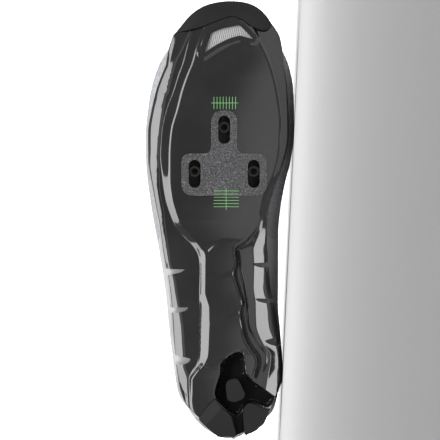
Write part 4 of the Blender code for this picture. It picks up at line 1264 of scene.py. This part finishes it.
# Studio: pale floor and backdrop in one, a soft light from the outer side and a pale surround.
CAMERA_DISTANCE = 1.25
SENSOR = 36
FILL = 438 / 440
FLOOR_DEPTH, FLOOR_RISE, FLOOR_BEND, FLOOR_HALF = 1.1, .85, .4, 4.5
SURROUND = .25
SOFTBOX_DISTANCE, SOFTBOX_RISE, SOFTBOX_RADIANCE = 1.15, radians(58), 5.2


def make_floor():
    """Pale floor that curves up into a backdrop behind the shoe."""
    start, bend = FLOOR_DEPTH - FLOOR_BEND, FLOOR_BEND
    profile = [(-6, 0), (start, 0)]
    profile += [(start + bend * sin(t * pi / 20), bend - bend * cos(t * pi / 20)) for t in range(1, 11)]
    profile.append((FLOOR_DEPTH, FLOOR_RISE))
    points = [(x, y, z) for x in (-FLOOR_HALF, FLOOR_HALF) for y, z in profile]
    n = len(profile)
    mesh = bpy.data.meshes.new("pale_floor")
    mesh.from_pydata(points, [], [(i, n + i, n + i + 1, i + 1) for i in range(n - 1)])
    mesh.shade_smooth()
    floor = placed("pale_floor", mesh)
    dust = tuple(.97 * tone for tone in FLOOR_TONE)
    mesh.materials.append(detailed("pale_paper", FLOOR_TONE, dust, .3, (.85, .95), 300.0, .05, .1 * MM))
    floor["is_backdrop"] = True


def soft_light(name, place, aim, size, radiance, spread):
    """Rectangular softbox of one brightness whatever its spread, with its long side along the shoe."""
    lamp = bpy.data.lights.new(name, "AREA")
    lamp.shape = "RECTANGLE"
    lamp.size, lamp.size_y = size
    lamp.spread = radians(spread)
    edge = radians(spread) / 2
    lamp.energy = radiance * pi * size[0] * size[1] * (tan(edge) - edge) / tan(edge)
    back = (Vector(place) - Vector(aim)).normalized()
    along = (Vector((1, 0, 0)) - back * back.x).normalized()
    axes = Matrix((along, back.cross(along), back)).transposed()
    placed(name, lamp).matrix_world = Matrix.Translation(Vector(place)) @ axes.to_4x4()


def make_camera():
    """Looks square at the sole, toe upwards, from as near the floor as the shoe's tilt brings it."""
    turned = SHOE.to_3x3()
    toe, up = turned @ Vector((1, 0, 0)), turned @ Vector((0, 0, 1))
    medial = up.cross(toe)
    axes = Matrix((medial, toe, -up)).transposed()
    low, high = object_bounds()
    centre = (low + high) / 2
    place = centre - up * CAMERA_DISTANCE
    seen = []
    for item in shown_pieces():
        corners = np.array([item.matrix_world @ v.co for v in item.data.vertices])
        away = corners - np.array(place)
        depth = away @ np.array(up)
        seen.append(np.stack([away @ np.array(medial) / depth, away @ np.array(toe) / depth], 1))
    seen = np.concatenate(seen)
    reach, middle = np.ptp(seen, 0), (seen.max(0) + seen.min(0)) / 2
    camera = bpy.data.cameras.new("camera")
    item = placed("camera", camera)
    camera.sensor_width = SENSOR
    camera.clip_start = 5 * MM
    camera.lens = SENSOR * FILL / reach[1]
    place += (medial * middle[0] + toe * middle[1]) * CAMERA_DISTANCE
    item.matrix_world = Matrix.Translation(place) @ axes.to_4x4()
    bpy.context.scene.camera = item


def make_surround():
    world = bpy.data.worlds.new("surround")
    bpy.context.scene.world = world
    world.use_nodes = True
    pale = world.node_tree.nodes["Background"]
    pale.inputs["Color"].default_value = (1, 1, 1, 1)
    pale.inputs["Strength"].default_value = SURROUND


def make_softbox():
    """One long softbox above the outer side, in front of the sole."""
    aim = Vector((.01, 0, .05))
    away = Vector((0, -cos(SOFTBOX_RISE), sin(SOFTBOX_RISE))) * SOFTBOX_DISTANCE
    soft_light("outer_side_softbox", aim + away, aim, size=(2.0, .96), radiance=SOFTBOX_RADIANCE, spread=150)


make_floor()
make_softbox()
soft_light("backdrop_light", place=(0, .80, 1.9), aim=(0, 1.02, .1), size=(2.6, .4), radiance=110, spread=52)
make_surround()
make_camera()

bpy.context.scene.view_settings.view_transform = "Standard"
